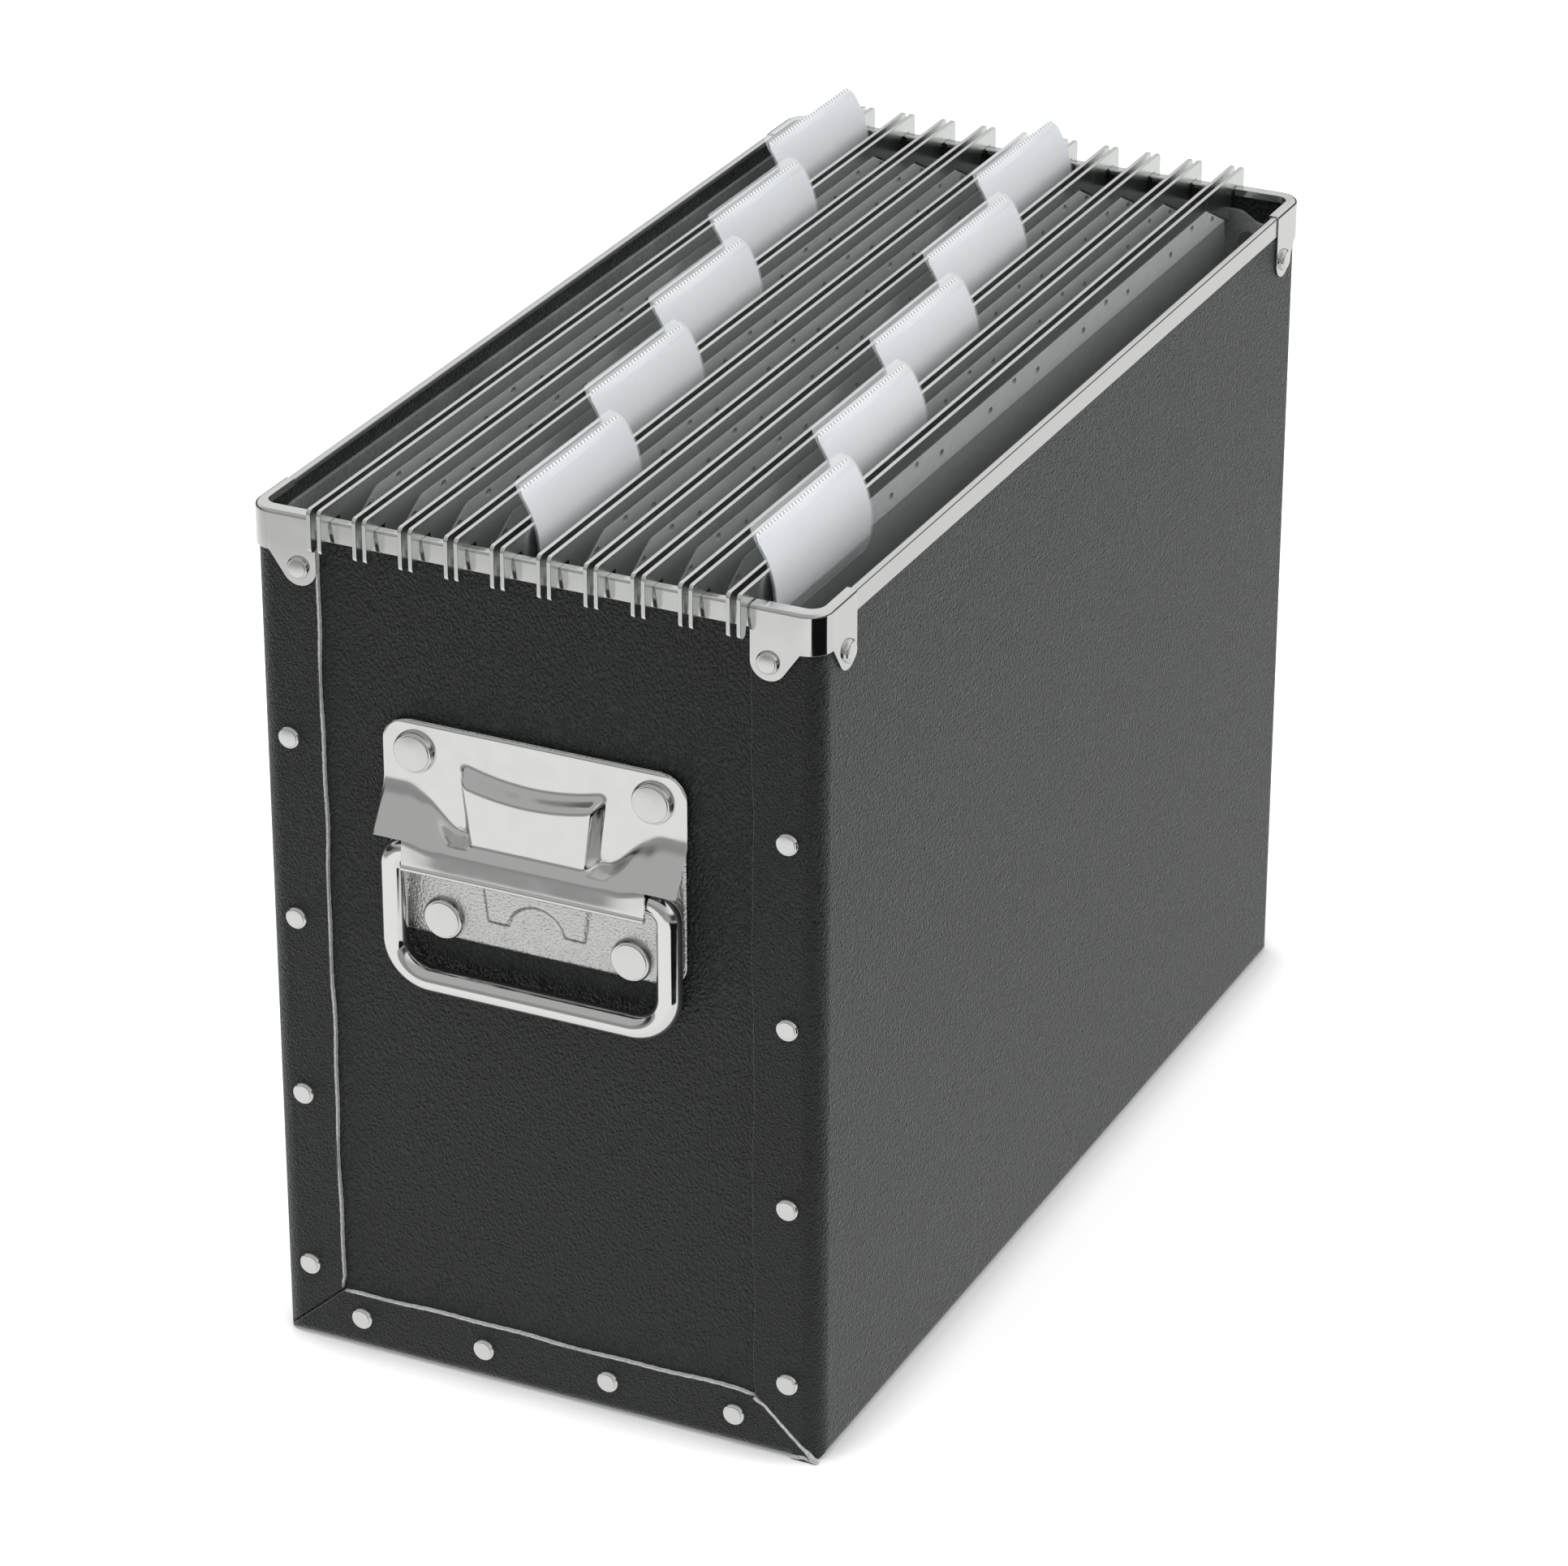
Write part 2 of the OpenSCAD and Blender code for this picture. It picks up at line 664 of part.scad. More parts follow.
module bail_half() {
    grip_z = pivot_z - bail_reach;
    leg_low = grip_z + bail_corner_r;
    leg_high = pivot_z - bail_bend_r;
    stub_end = leg_x - bail_bend_r;
    translate([0, -pivot_y, 0]) {
        translate([leg_x - bail_stub_l, 0, pivot_z])
            rotate([0, 90, 0]) cylinder(d = bail_d, h = stub_end - leg_x + bail_stub_l);
        translate([stub_end, 0, leg_high]) rod_bend(bail_bend_r);
        translate([leg_x, 0, leg_low]) cylinder(d = bail_d, h = leg_high - leg_low);
        translate([leg_x - bail_corner_r, 0, leg_low]) mirror([0, 0, 1]) rod_bend(bail_corner_r);
        translate([0, 0, grip_z])
            rotate([0, 90, 0]) cylinder(d = bail_d, h = leg_x - bail_corner_r);
    }
}

module bail() {
    color("#dfe1e1") {
        bail_half();
        mirror([1, 0, 0]) bail_half();
    }
}

module handle_rivets() {
    color("#c9cbcb") both_ends() {
        for (p = upper_points)
            translate([p[0], -cover_front, p[1]])
                rotate([90, 0, 0]) handle_rivet(cover_front - end_lining_in);
        for (p = lower_points)
            translate([p[0], -plate_front, p[1]])
                rotate([90, 0, 0]) handle_rivet(plate_front - end_lining_in);
    }
}

// Outline of a pocket seen from its end: round foot, straight sides, narrow neck
module pocket_outline(half_foot, half_neck, top) {
    bend_z = pocket_foot + foot_out;
    translate([0, bend_z]) circle(half_foot);
    polygon([
        [-half_foot, bend_z], [half_foot, bend_z], [half_foot, flare_z], [half_neck, hem_low],
        [half_neck, top], [-half_neck, top], [-half_neck, hem_low], [-half_foot, flare_z]
    ]);
}

// Section of a pocket: one folded card whose top edges are turned down outside as a hem
module pocket_section() {
    difference() {
        union() {
            pocket_outline(foot_out, card_out, card_top);
            translate([-hem_out, hem_low]) square([2 * hem_out, hem_top - hem_low]);
        }
        pocket_outline(foot_in, card_in, card_top + over);
    }
}

// Corner of the card that is cut away under a hook's plate, seen from the side
module card_corner() {
    slope = (rail_low - plate_z) / (notch_in - plate_end);
    start_z = rail_low - cut_gap * sqrt(1 + slope * slope);
    near = plate_end - over;
    far = pocket_half_l + over;
    polygon([
        [near, start_z + over * slope], [far, start_z - (far - plate_end) * slope],
        [far, rail_top], [near, rail_top]
    ]);
}

// A slot of the hem: straight middle and two round ends
module slot_outline() {
    square([slot_l - slot_h, slot_h], center = true);
    for (s = [-1, 1]) translate([s * (slot_l - slot_h) / 2, 0]) circle(d = slot_h);
}

// Slots in groups of three, the middle one of each group higher than its neighbours
module slots() {
    for (g = [-slot_groups:slot_groups], k = [-1:1])
        translate([(4 * g + k) * slot_pitch, slot_z[abs(k)]]) slot_outline();
}

module pocket(i) {
    color("#3c3f3d") translate([file_x[i - 1], 0, 0]) difference() {
        along_y(-pocket_half_l, pocket_half_l) pocket_section();
        for (s = [0, 1]) mirror([0, s, 0]) along_x(-pocket_w, pocket_w) card_corner();
        along_x(-pocket_w, pocket_w) slots();
    }
}

// Side view of one end of a rail, with its hook over the rim
module hook_outline() {
    prong_r = (prong_w - prong_taper) / 2;
    tip_z = box_h - prong_drop + prong_r;
    polygon([
        [0, rail_low], [plate_end, rail_low], [notch_in, plate_z], [notch_in, box_h],
        [notch_out, box_h], [notch_out + prong_taper, tip_z], [hook_end, tip_z],
        [hook_end, rail_top - hook_corner_r], [hook_end - hook_corner_r, rail_top], [0, rail_top]
    ]);
    translate([hook_end - hook_corner_r, rail_top - hook_corner_r]) circle(hook_corner_r);
    translate([hook_end - prong_r, tip_z]) circle(prong_r);
}

module hanger_rail() {
    difference() {
        along_x(rail_in, rail_out) {
            hook_outline();
            mirror([1, 0]) hook_outline();
        }
        translate([card_in - thin, -pocket_half_l - fit, 0])
            cube([card_t + 2 * thin, 2 * (pocket_half_l + fit), card_top + thin]);
    }
}

module hanger_rails(i) {
    color("#d2d4d3") translate([file_x[i - 1], 0, 0]) {
        hanger_rail();
        mirror([1, 0, 0]) hanger_rail();
    }
}

// Distance of the middle of the bent sleeve from the axis of its bend, at a height
function bow_at(z) = sqrt(pow(tab_radius, 2) - pow(z - bow_z, 2));

// Middle slot that the tab of a file is clipped to: five places, from the rear to the front
function tab_y(i) = 4 * slot_pitch * (slot_groups - (i - 1) % 5);

// Part of a bent sleeve: half its thickness, and how far it stops short of the two edges
module bow_section(half, short) {
    cut = short * 180 / (PI * tab_radius);
    far = tab_radius * 2;
    translate([bow_x - tab_radius, bow_z]) intersection() {
        difference() {
            circle(tab_radius + half, $fn = 96);
            circle(tab_radius - half, $fn = 96);
        }
        polygon([
            [0, 0], [far * cos(tab_kick - cut), -far * sin(tab_kick - cut)],
            [far, 0], [far * cos(tab_lean - cut), far * sin(tab_lean - cut)]
        ]);
    }
}

// Outline of a tab or a label from the side, with rounded corners
module tab_outline(w, short) {
    low = bow_z - tab_radius * sin(tab_kick) - sleeve_half;
    high = bow_z + (tab_radius + sleeve_half) * sin(tab_lean) + thin;
    r = max(tab_corner_r - short, 1);
    translate([0, (low + high) / 2]) round_plan(w, high - low - 2 * short, r);
}

module index_tab(i) {
    y = tab_y(i);
    color("#e6e9ec", 0.5) translate([file_x[i - 1], 0, 0]) {
        intersection() {
            along_y(y + tab_shift - tab_w / 2, y + tab_shift + tab_w / 2) difference() {
                bow_section(sleeve_half, 0);
                bow_section(sleeve_half - tab_wall, sleeve_end);
            }
            translate([0, y + tab_shift, 0])
                along_x(bow_x - 2 * tab_radius, bow_x + 2 * tab_radius) tab_outline(tab_w, 0);
        }
        for (k = [-1:1]) {
            z = slot_z[abs(k)];
            translate([peg_tip, y + k * slot_pitch - peg_l / 2, z - peg_h / 2])
                cube([sleeve_wall_x + bow_at(z) - peg_tip, peg_l, peg_h]);
        }
    }
}

module label(i) {
    y = tab_y(i);
    w = tab_w - 2 * label_margin;
    color("#f2f3f5") translate([file_x[i - 1], 0, 0]) intersection() {
        along_y(y + tab_shift - w / 2, y + tab_shift + w / 2) bow_section(label_t / 2, label_end);
        translate([0, y + tab_shift, 0])
            along_x(bow_x - 2 * tab_radius, bow_x + 2 * tab_radius)
                tab_outline(w, label_margin);
    }
}

body_sheet();
end_panel();  // front_end_panel
rotate([0, 0, 180]) end_panel();  // rear_end_panel
lining_boards();
end_rim();  // front_end_rim
rotate([0, 0, 180]) end_rim();  // rear_end_rim
mirror([1, 0, 0]) side_rim();  // left_side_rim
side_rim();  // right_side_rim
mirror([1, 0, 0]) corner_cap();  // front_left_corner_cap
corner_cap();  // front_right_corner_cap
rotate([0, 0, 180]) corner_cap();  // rear_left_corner_cap
mirror([0, 1, 0]) corner_cap();  // rear_right_corner_cap
panel_rivets();
handle_base();  // front_handle_base
rotate([0, 0, 180]) handle_base();  // rear_handle_base
handle_cover();  // front_handle_cover
rotate([0, 0, 180]) handle_cover();  // rear_handle_cover
bail();  // front_bail
rotate([0, 0, 180]) bail();  // rear_bail
handle_rivets();
for (i = [1:file_count]) {
    pocket(i);
    hanger_rails(i);
    index_tab(i);
    label(i);
}
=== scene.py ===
"""Portable file box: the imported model, dressed for its photograph. All lengths are in metres."""
import json
import math

import bmesh
import bpy
import numpy as np
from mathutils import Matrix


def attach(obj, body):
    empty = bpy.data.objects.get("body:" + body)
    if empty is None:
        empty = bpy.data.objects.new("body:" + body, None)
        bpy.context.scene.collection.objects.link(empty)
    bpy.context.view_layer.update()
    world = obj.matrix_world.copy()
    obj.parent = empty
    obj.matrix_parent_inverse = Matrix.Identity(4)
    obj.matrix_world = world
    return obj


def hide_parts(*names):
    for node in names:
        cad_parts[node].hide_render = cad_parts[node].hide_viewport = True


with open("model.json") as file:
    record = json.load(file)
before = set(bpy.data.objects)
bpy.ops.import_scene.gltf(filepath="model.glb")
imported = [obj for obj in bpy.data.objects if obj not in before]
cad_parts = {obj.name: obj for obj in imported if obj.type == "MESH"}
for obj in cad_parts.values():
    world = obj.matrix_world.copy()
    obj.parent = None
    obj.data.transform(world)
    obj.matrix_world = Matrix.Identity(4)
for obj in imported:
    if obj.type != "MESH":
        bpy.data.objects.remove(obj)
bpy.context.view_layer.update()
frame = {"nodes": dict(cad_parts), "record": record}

MM = 0.001

# Sizes shared with the solids

END_Y = 0.167            # outside of the end boards
SIDE_X = 0.083           # outside of the long sides
FLAP_W = 0.019           # upright flap, in from the side
BASE_FLAP_H = 0.017      # base flap, up from the floor
MITRE_GAP = 0.8 * MM     # slit of the mitre between an upright flap and the base flap
BOARD_T = 0.0014         # box board
LINING_IN = 0.1632       # inner face of the lining of the ends
SIDE_LINING_IN = 0.0804  # inner face of the lining of the sides
CAP_OUT = 0.0008         # how far a cap's face stands out of the board
HANDLE_TOP = 0.199       # upper edge of both handle plates
PLATE_FRONT = 0.1666     # face of the base plate
COVER_FRONT = 0.1676     # face of the cover plate
COVER_HALF = 0.045       # half width of the cover plate
BASE_HALF = 0.044        # half width of the base plate
BASE_LOW = 0.1365        # lower edge of the base plate
PLATE_CORNER = 0.007     # corner radius of both plates
PLATE_T = 0.0007         # sheet that both plates are pressed from
BARREL_OUT = 0.1756      # front of the barrel that holds the bail
BARREL_HALF = 0.036      # half width of the barrel below the ears
EAR_Z = 0.1672           # lower edge of the ears
LIP_Z = 0.1595           # middle of the barrel's rolled lip
LIP_R = 0.001            # radius of that lip
HEM_LOW = 0.2446         # lower edge of the hems of the files
TORN_Z = 0.2653          # the torn upper edge of a label starts here

SLOT_OF = {part["node"]: part["material_slot"] for part in frame["record"]["subparts"]}
BODY_OF = {node: body for body, nodes in frame["record"]["behaviour"]["bodies"].items()
           for node in nodes}


# Small tools

def linear(code):
    """sRGB hex colour as linear RGBA."""
    parts = [int(code[i:i + 2], 16) / 255 for i in (1, 3, 5)]
    return [v / 12.92 if v <= 0.04045 else ((v + 0.055) / 1.055) ** 2.4 for v in parts] + [1.0]


def add(tree, kind, inputs=(), **settings):
    """Adds a node. settings are its attributes. inputs maps the names or numbers of its sockets to
    values, or to the sockets that are linked to them."""
    made = tree.nodes.new(kind)
    for key, value in settings.items():
        setattr(made, key, value)
    for key, value in dict(inputs).items():
        if isinstance(value, bpy.types.NodeSocket):
            tree.links.new(value, made.inputs[key])
        else:
            made.inputs[key].default_value = value
    return made


def empty_material(name):
    """A material with no nodes, and its tree."""
    material = bpy.data.materials.new(name)
    material.use_nodes = True
    material.node_tree.nodes.clear()
    return material, material.node_tree


def close_material(tree, **sockets):
    """Adds the shader and the output. A key is the socket's name with _ for a space."""
    shader = add(tree, "ShaderNodeBsdfPrincipled", {k.replace("_", " "): v for k, v in sockets.items()})
    add(tree, "ShaderNodeOutputMaterial", {"Surface": shader.outputs[0]})


def linked(name, data):
    """A new object of the data, in the scene."""
    made = bpy.data.objects.new(name, data)
    bpy.context.scene.collection.objects.link(made)
    return made


def new_piece(name, points, faces, materials, face_material=None, shade=True):
    """A mesh object from numpy points and faces, with its materials, riding on the box."""
    mesh = bpy.data.meshes.new(name)
    mesh.from_pydata(np.asarray(points, float).tolist(), [], [list(map(int, face)) for face in faces])
    for material in materials:
        mesh.materials.append(material)
    if face_material is not None:
        mesh.polygons.foreach_set("material_index", np.asarray(face_material, np.int32))
    mesh.polygons.foreach_set("use_smooth", np.full(len(mesh.polygons), shade))
    mesh.update()
    piece = linked(name, mesh)
    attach(piece, "box")
    return piece


def smooth(t):
    """3t^2 - 2t^3 of t held between 0 and 1."""
    t = np.clip(t, 0, 1)
    return t * t * (3 - 2 * t)


def blend(value, start, stop):
    """0 up to start, 1 from stop on, and a smooth step between them."""
    return smooth((value - start) / (stop - start))


def grid_faces(rows, cols, kept=None):
    """Quads of a rows x cols grid of points, kept where the boolean array of cells says so."""
    row, col = np.meshgrid(np.arange(rows - 1), np.arange(cols - 1), indexing="ij")
    corner = row * cols + col
    quads = np.stack([corner, corner + 1, corner + cols + 1, corner + cols], axis=-1)
    return quads[np.ones_like(corner, bool) if kept is None else kept]


def used(points, faces):
    """The points that the faces use, and the faces numbered for them."""
    kept, back = np.unique(faces, return_inverse=True)
    return points[kept], back.reshape(faces.shape)


def blurred(grid, radius):
    """The grid softened along both axes with a triangular window of that many cells each way."""
    window = np.bartlett(2 * radius + 3)[1:-1]
    window /= window.sum()
    for axis in (0, 1):
        pad = [(radius, radius) if a == axis else (0, 0) for a in (0, 1)]
        wide = np.pad(grid, pad, mode="edge")
        grid = np.apply_along_axis(lambda line: np.convolve(line, window, "valid"), axis, wide)
    return grid


def turned_round(points):
    """The points turned half a turn about the box's upright axis."""
    return points * [-1, -1, 1]


# Materials

GRAIN_TURN = math.radians(35)  # turn of the grain about the box's length
BEND_WAVES = 0.3               # waves per grain of the noise that bends the pebbles
BEND_REACH = 2.5               # how far it moves them, in grains
FINE_WAVES = 1.6               # waves per grain of the finer noise
PEBBLE_EDGE = 0.35             # share of a pebble over which it rounds off
OUTER_Y = END_Y - BOARD_T - 0.1 * MM     # the outer board of the ends lies beyond this
FACING_OUT = 0.4               # a face whose normal has this much y faces out of an end


def embossed_grain(tree, place, grain_m, depth_m, stretch):
    """Bump of an embossed sheet: pebbles of the grain's size, bent by a slow noise so that they run
    together into short wrinkles, with a finer noise over them. stretch scales the coordinates, so the
    pebbles are longer where it is less than 1."""
    drawn = add(tree, "ShaderNodeMapping", {"Vector": place, "Scale": stretch,
                                            "Rotation": (0, GRAIN_TURN, 0)})
    bend = add(tree, "ShaderNodeTexNoise", {"Vector": drawn.outputs[0], "Scale": BEND_WAVES / grain_m,
                                            "Detail": 2.0})
    bent = add(tree, "ShaderNodeVectorMath", {"Vector": bend.outputs["Color"],
                                              "Scale": BEND_REACH * grain_m}, operation="SCALE")
    moved = add(tree, "ShaderNodeVectorMath", {0: drawn.outputs[0], 1: bent.outputs[0]})
    pebbles = add(tree, "ShaderNodeTexVoronoi", {"Vector": moved.outputs[0], "Scale": 1 / grain_m},
                  feature="DISTANCE_TO_EDGE")
    pebble = add(tree, "ShaderNodeMapRange", {"Value": pebbles.outputs["Distance"],
                                              "From Max": PEBBLE_EDGE}, interpolation_type="SMOOTHSTEP")
    fine = add(tree, "ShaderNodeTexNoise", {"Vector": moved.outputs[0], "Scale": FINE_WAVES / grain_m,
                                            "Detail": 3.0})
    height = add(tree, "ShaderNodeMath", {0: pebble.outputs[0], 1: fine.outputs["Fac"]},
                 operation="ADD")
    return add(tree, "ShaderNodeBump", {"Height": height.outputs[0], "Strength": 1.0,
                                        "Distance": depth_m}).outputs[0]


def on_cut_edge(tree, where):
    """1 on the cut edges of the flaps, which lie in the outer board of the ends and don't face out of
    it, and 0 elsewhere."""
    spot = add(tree, "ShaderNodeSeparateXYZ", {0: where.outputs["Object"]})
    along = add(tree, "ShaderNodeMath", {0: spot.outputs["Y"]}, operation="ABSOLUTE")
    outer = add(tree, "ShaderNodeMath", {0: along.outputs[0], 1: OUTER_Y}, operation="GREATER_THAN")
    facing = add(tree, "ShaderNodeSeparateXYZ", {0: where.outputs["Normal"]})
    end_on = add(tree, "ShaderNodeMath", {0: facing.outputs["Y"]}, operation="ABSOLUTE")
    sideways = add(tree, "ShaderNodeMath", {0: end_on.outputs[0], 1: FACING_OUT},
                   operation="LESS_THAN")
    return add(tree, "ShaderNodeMath", {0: outer.outputs[0], 1: sideways.outputs[0]},
               operation="MULTIPLY").outputs[0]


def leather_board(name, grain_m, depth_m, stretch):
    """Leathercloth paper glued on fibreboard and embossed: near-black, with a sheen that lifts the
    grey at a flat angle. The cut edges of the flaps show the grey fibre of the board."""
    material, tree = empty_material(name)
    where = add(tree, "ShaderNodeTexCoord")
    place = where.outputs["Object"]
    bump = embossed_grain(tree, place, grain_m, depth_m, stretch)
    patch = add(tree, "ShaderNodeTexNoise", {"Vector": place, "Scale": 14.0, "Detail": 3.0})
    black = add(tree, "ShaderNodeMix", {0: patch.outputs["Fac"], 6: linear("#131416"),
                                        7: linear("#1a1c1e")}, data_type="RGBA")
    fibre_spots = add(tree, "ShaderNodeTexNoise", {"Vector": place, "Scale": 900.0, "Detail": 4.0})
    fibre = add(tree, "ShaderNodeMix", {0: fibre_spots.outputs["Fac"], 6: linear("#6e7072"),
                                        7: linear("#c9cac8")}, data_type="RGBA")
    raw = on_cut_edge(tree, where)
    colour = add(tree, "ShaderNodeMix", {0: raw, 6: black.outputs[2], 7: fibre.outputs[2]},
                 data_type="RGBA")
    rough = add(tree, "ShaderNodeMapRange", {"Value": raw, "To Min": 0.36, "To Max": 0.9})
    close_material(tree, Base_Color=colour.outputs[2], Roughness=rough.outputs[0], IOR=1.4, Normal=bump,
                   Sheen_Weight=0.135, Sheen_Roughness=0.35, Sheen_Tint=linear("#eefaf3"))
    return material


def raw_fibre(name):
    """Cut edge of the fibreboard: pale grey paper fibres, matt and rough."""
    material, tree = empty_material(name)
    place = add(tree, "ShaderNodeTexCoord").outputs["Object"]
    spots = add(tree, "ShaderNodeTexNoise", {"Vector": place, "Scale": 1200.0, "Detail": 4.0})
    colour = add(tree, "ShaderNodeMix", {0: spots.outputs["Fac"], 6: linear("#77797a"),
                                         7: linear("#d6d7d5")}, data_type="RGBA")
    bump = add(tree, "ShaderNodeBump", {"Height": spots.outputs["Fac"], "Strength": 0.6,
                                        "Distance": 0.3 * MM})
    close_material(tree, Base_Color=colour.outputs[2], Roughness=0.92, Normal=bump.outputs[0])
    return material


def lining(name):
    """Grey mill board: matt, with paler and darker fibres pressed flat."""
    material, tree = empty_material(name)
    place = add(tree, "ShaderNodeTexCoord").outputs["Object"]
    spots = add(tree, "ShaderNodeTexNoise", {"Vector": place, "Scale": 700.0, "Detail": 5.0,
                                             "Roughness": 0.7})
    clouds = add(tree, "ShaderNodeTexNoise", {"Vector": place, "Scale": 25.0, "Detail": 2.0})
    mixed = add(tree, "ShaderNodeMath", {0: spots.outputs["Fac"], 1: clouds.outputs["Fac"]},
                operation="MULTIPLY")
    share = add(tree, "ShaderNodeMapRange", {"Value": mixed.outputs[0], "From Min": 0.12,
                                             "From Max": 0.4})
    colour = add(tree, "ShaderNodeMix", {0: share.outputs[0], 6: linear("#6c6f70"),
                                         7: linear("#979a99")}, data_type="RGBA")
    bump = add(tree, "ShaderNodeBump", {"Height": spots.outputs["Fac"], "Strength": 0.3,
                                        "Distance": 0.2 * MM})
    close_material(tree, Base_Color=colour.outputs[2], Roughness=0.85, Normal=bump.outputs[0])
    return material


def plated(name, code, rough, wave, grit=None):
    """Nickel-plated steel: a bright mirror, with a roughness between the two of rough. It waves a
    little where the sheet was rolled or pressed, and is granular where a grit is given. wave and grit
    are each a length and a depth."""
    material, tree = empty_material(name)
    place = add(tree, "ShaderNodeTexCoord").outputs["Object"]
    waves = add(tree, "ShaderNodeTexNoise", {"Vector": place, "Scale": 1 / wave[0], "Detail": 1.0})
    bump = add(tree, "ShaderNodeBump", {"Height": waves.outputs["Fac"], "Strength": 1.0,
                                        "Distance": wave[1]}).outputs[0]
    if grit:
        grains = add(tree, "ShaderNodeTexNoise", {"Vector": place, "Scale": 1 / grit[0], "Detail": 2.0})
        bump = add(tree, "ShaderNodeBump", {"Height": grains.outputs["Fac"], "Strength": 1.0,
                                            "Distance": grit[1], "Normal": bump}).outputs[0]
    haze = add(tree, "ShaderNodeTexNoise", {"Vector": place, "Scale": 180.0, "Detail": 3.0})
    gloss = add(tree, "ShaderNodeMapRange", {"Value": haze.outputs["Fac"], "From Min": 0.3,
                                             "From Max": 0.7, "To Min": rough[0], "To Max": rough[1]})
    close_material(tree, Base_Color=linear(code), Metallic=1.0, Roughness=gloss.outputs[0], Normal=bump)
    return material


def file_card(name):
    """Dyed manila card of a suspension file: smooth, matt, grey-green, with short paler fibres. The hem,
    where the card is folded over and pressed, is drawn paler above HEM_LOW: painted light on its upturned
    fold."""
    material, tree = empty_material(name)
    place = add(tree, "ShaderNodeTexCoord").outputs["Object"]
    long_way = add(tree, "ShaderNodeMapping", {"Vector": place, "Scale": (1.0, 0.3, 1.0)})
    fibres = add(tree, "ShaderNodeTexNoise", {"Vector": long_way.outputs[0], "Scale": 800.0,
                                              "Detail": 4.0, "Roughness": 0.65})
    card = add(tree, "ShaderNodeMix", {0: fibres.outputs["Fac"], 6: linear("#757876"),
                                       7: linear("#929593")}, data_type="RGBA")
    # painted light: the hem is drawn paler than the rest of the card, for the light that falls on its
    # upturned fold
    hem = add(tree, "ShaderNodeMix", {0: fibres.outputs["Fac"], 6: linear("#a0a3a1"),
                                      7: linear("#babdbb")}, data_type="RGBA")
    height = add(tree, "ShaderNodeSeparateXYZ", {0: place})
    above = add(tree, "ShaderNodeMath", {0: height.outputs["Z"], 1: HEM_LOW}, operation="GREATER_THAN")
    colour = add(tree, "ShaderNodeMix", {0: above.outputs[0], 6: card.outputs[2], 7: hem.outputs[2]},
                 data_type="RGBA")
    bump = add(tree, "ShaderNodeBump", {"Height": fibres.outputs["Fac"], "Strength": 0.2,
                                        "Distance": 0.1 * MM})
    close_material(tree, Base_Color=colour.outputs[2], Roughness=0.62, Normal=bump.outputs[0])
    return material


def clear_sleeve(name):
    """Clear moulded polystyrene of the index tabs: glassy, with a faint ripple. The wall is thin, so
    it is drawn as a mostly see-through film, which lets the light reach the label."""
    material, tree = empty_material(name)
    place = add(tree, "ShaderNodeTexCoord").outputs["Object"]
    ripple = add(tree, "ShaderNodeTexNoise", {"Vector": place, "Scale": 120.0, "Detail": 1.0})
    bump = add(tree, "ShaderNodeBump", {"Height": ripple.outputs["Fac"], "Strength": 0.15,
                                        "Distance": 0.2 * MM})
    close_material(tree, Base_Color=linear("#e6e9eb"), Roughness=0.08, IOR=1.58, Alpha=0.2,
                   Normal=bump.outputs[0])
    return material


DASH_PITCH = 1.8 * MM    # distance of the cuts along which a label was torn off


def label_paper(name):
    """Plain cartridge paper: white, slightly cool, with faint fibres. Its upper edge was torn off
    along a row of cuts, which shows as light and dark dashes."""
    material, tree = empty_material(name)
    place = add(tree, "ShaderNodeTexCoord").outputs["Object"]
    fibres = add(tree, "ShaderNodeTexNoise", {"Vector": place, "Scale": 600.0, "Detail": 4.0})
    sheet = add(tree, "ShaderNodeMix", {0: fibres.outputs["Fac"], 6: linear("#cfd1d5"),
                                        7: linear("#dcdee1")}, data_type="RGBA")
    spot = add(tree, "ShaderNodeSeparateXYZ", {0: place})
    torn = add(tree, "ShaderNodeMath", {0: spot.outputs["Z"], 1: TORN_Z}, operation="GREATER_THAN")
    angle = add(tree, "ShaderNodeMath", {0: spot.outputs["Y"], 1: 2 * math.pi / DASH_PITCH},
                operation="MULTIPLY")
    wave = add(tree, "ShaderNodeMath", {0: angle.outputs[0]}, operation="SINE")
    dash = add(tree, "ShaderNodeMapRange", {"Value": wave.outputs[0], "From Min": -0.3, "From Max": 0.3})
    edge = add(tree, "ShaderNodeMix", {0: dash.outputs[0], 6: linear("#8e9094"), 7: linear("#f4f5f6")},
               data_type="RGBA")
    colour = add(tree, "ShaderNodeMix", {0: torn.outputs[0], 6: sheet.outputs[2], 7: edge.outputs[2]},
                 data_type="RGBA")
    close_material(tree, Base_Color=colour.outputs[2], Roughness=0.8)
    return material


FINISHES = {
    "box_board": leather_board("leathercloth_board", grain_m=1.0 * MM, depth_m=0.23 * MM,
                               stretch=(1, 0.8, 0.8)),
    "end_board": leather_board("leathercloth_end_board", grain_m=1.3 * MM, depth_m=0.26 * MM,
                               stretch=(1, 1, 0.75)),
    "lining_board": lining("grey_mill_board"),
    "rim_metal": plated("nickel_rim", "#d1d2d0", rough=(0.10, 0.18), wave=(20 * MM, 0.05 * MM)),
    "cap_metal": plated("nickel_cap", "#d6d7d5", rough=(0.08, 0.16), wave=(12 * MM, 0.08 * MM)),
    "rivet_metal": plated("nickel_rivet", "#dadbd9", rough=(0.14, 0.24), wave=(6 * MM, 0.03 * MM)),
    "handle_metal": plated("nickel_pressing", "#dfe0de", rough=(0.1, 0.2), wave=(14 * MM, 0.12 * MM)),
    "bail_metal": plated("polished_nickel_rod", "#e2e3e1", rough=(0.06, 0.12),
                         wave=(20 * MM, 0.03 * MM)),
    "file_card": file_card("dyed_manila_card"),
    "rail_metal": plated("zinc_rail", "#dddfdd", rough=(0.24, 0.28), wave=(50 * MM, 0.02 * MM)),
    "clear_plastic": clear_sleeve("clear_polystyrene"),
    "label_paper": label_paper("white_label_paper"),
}
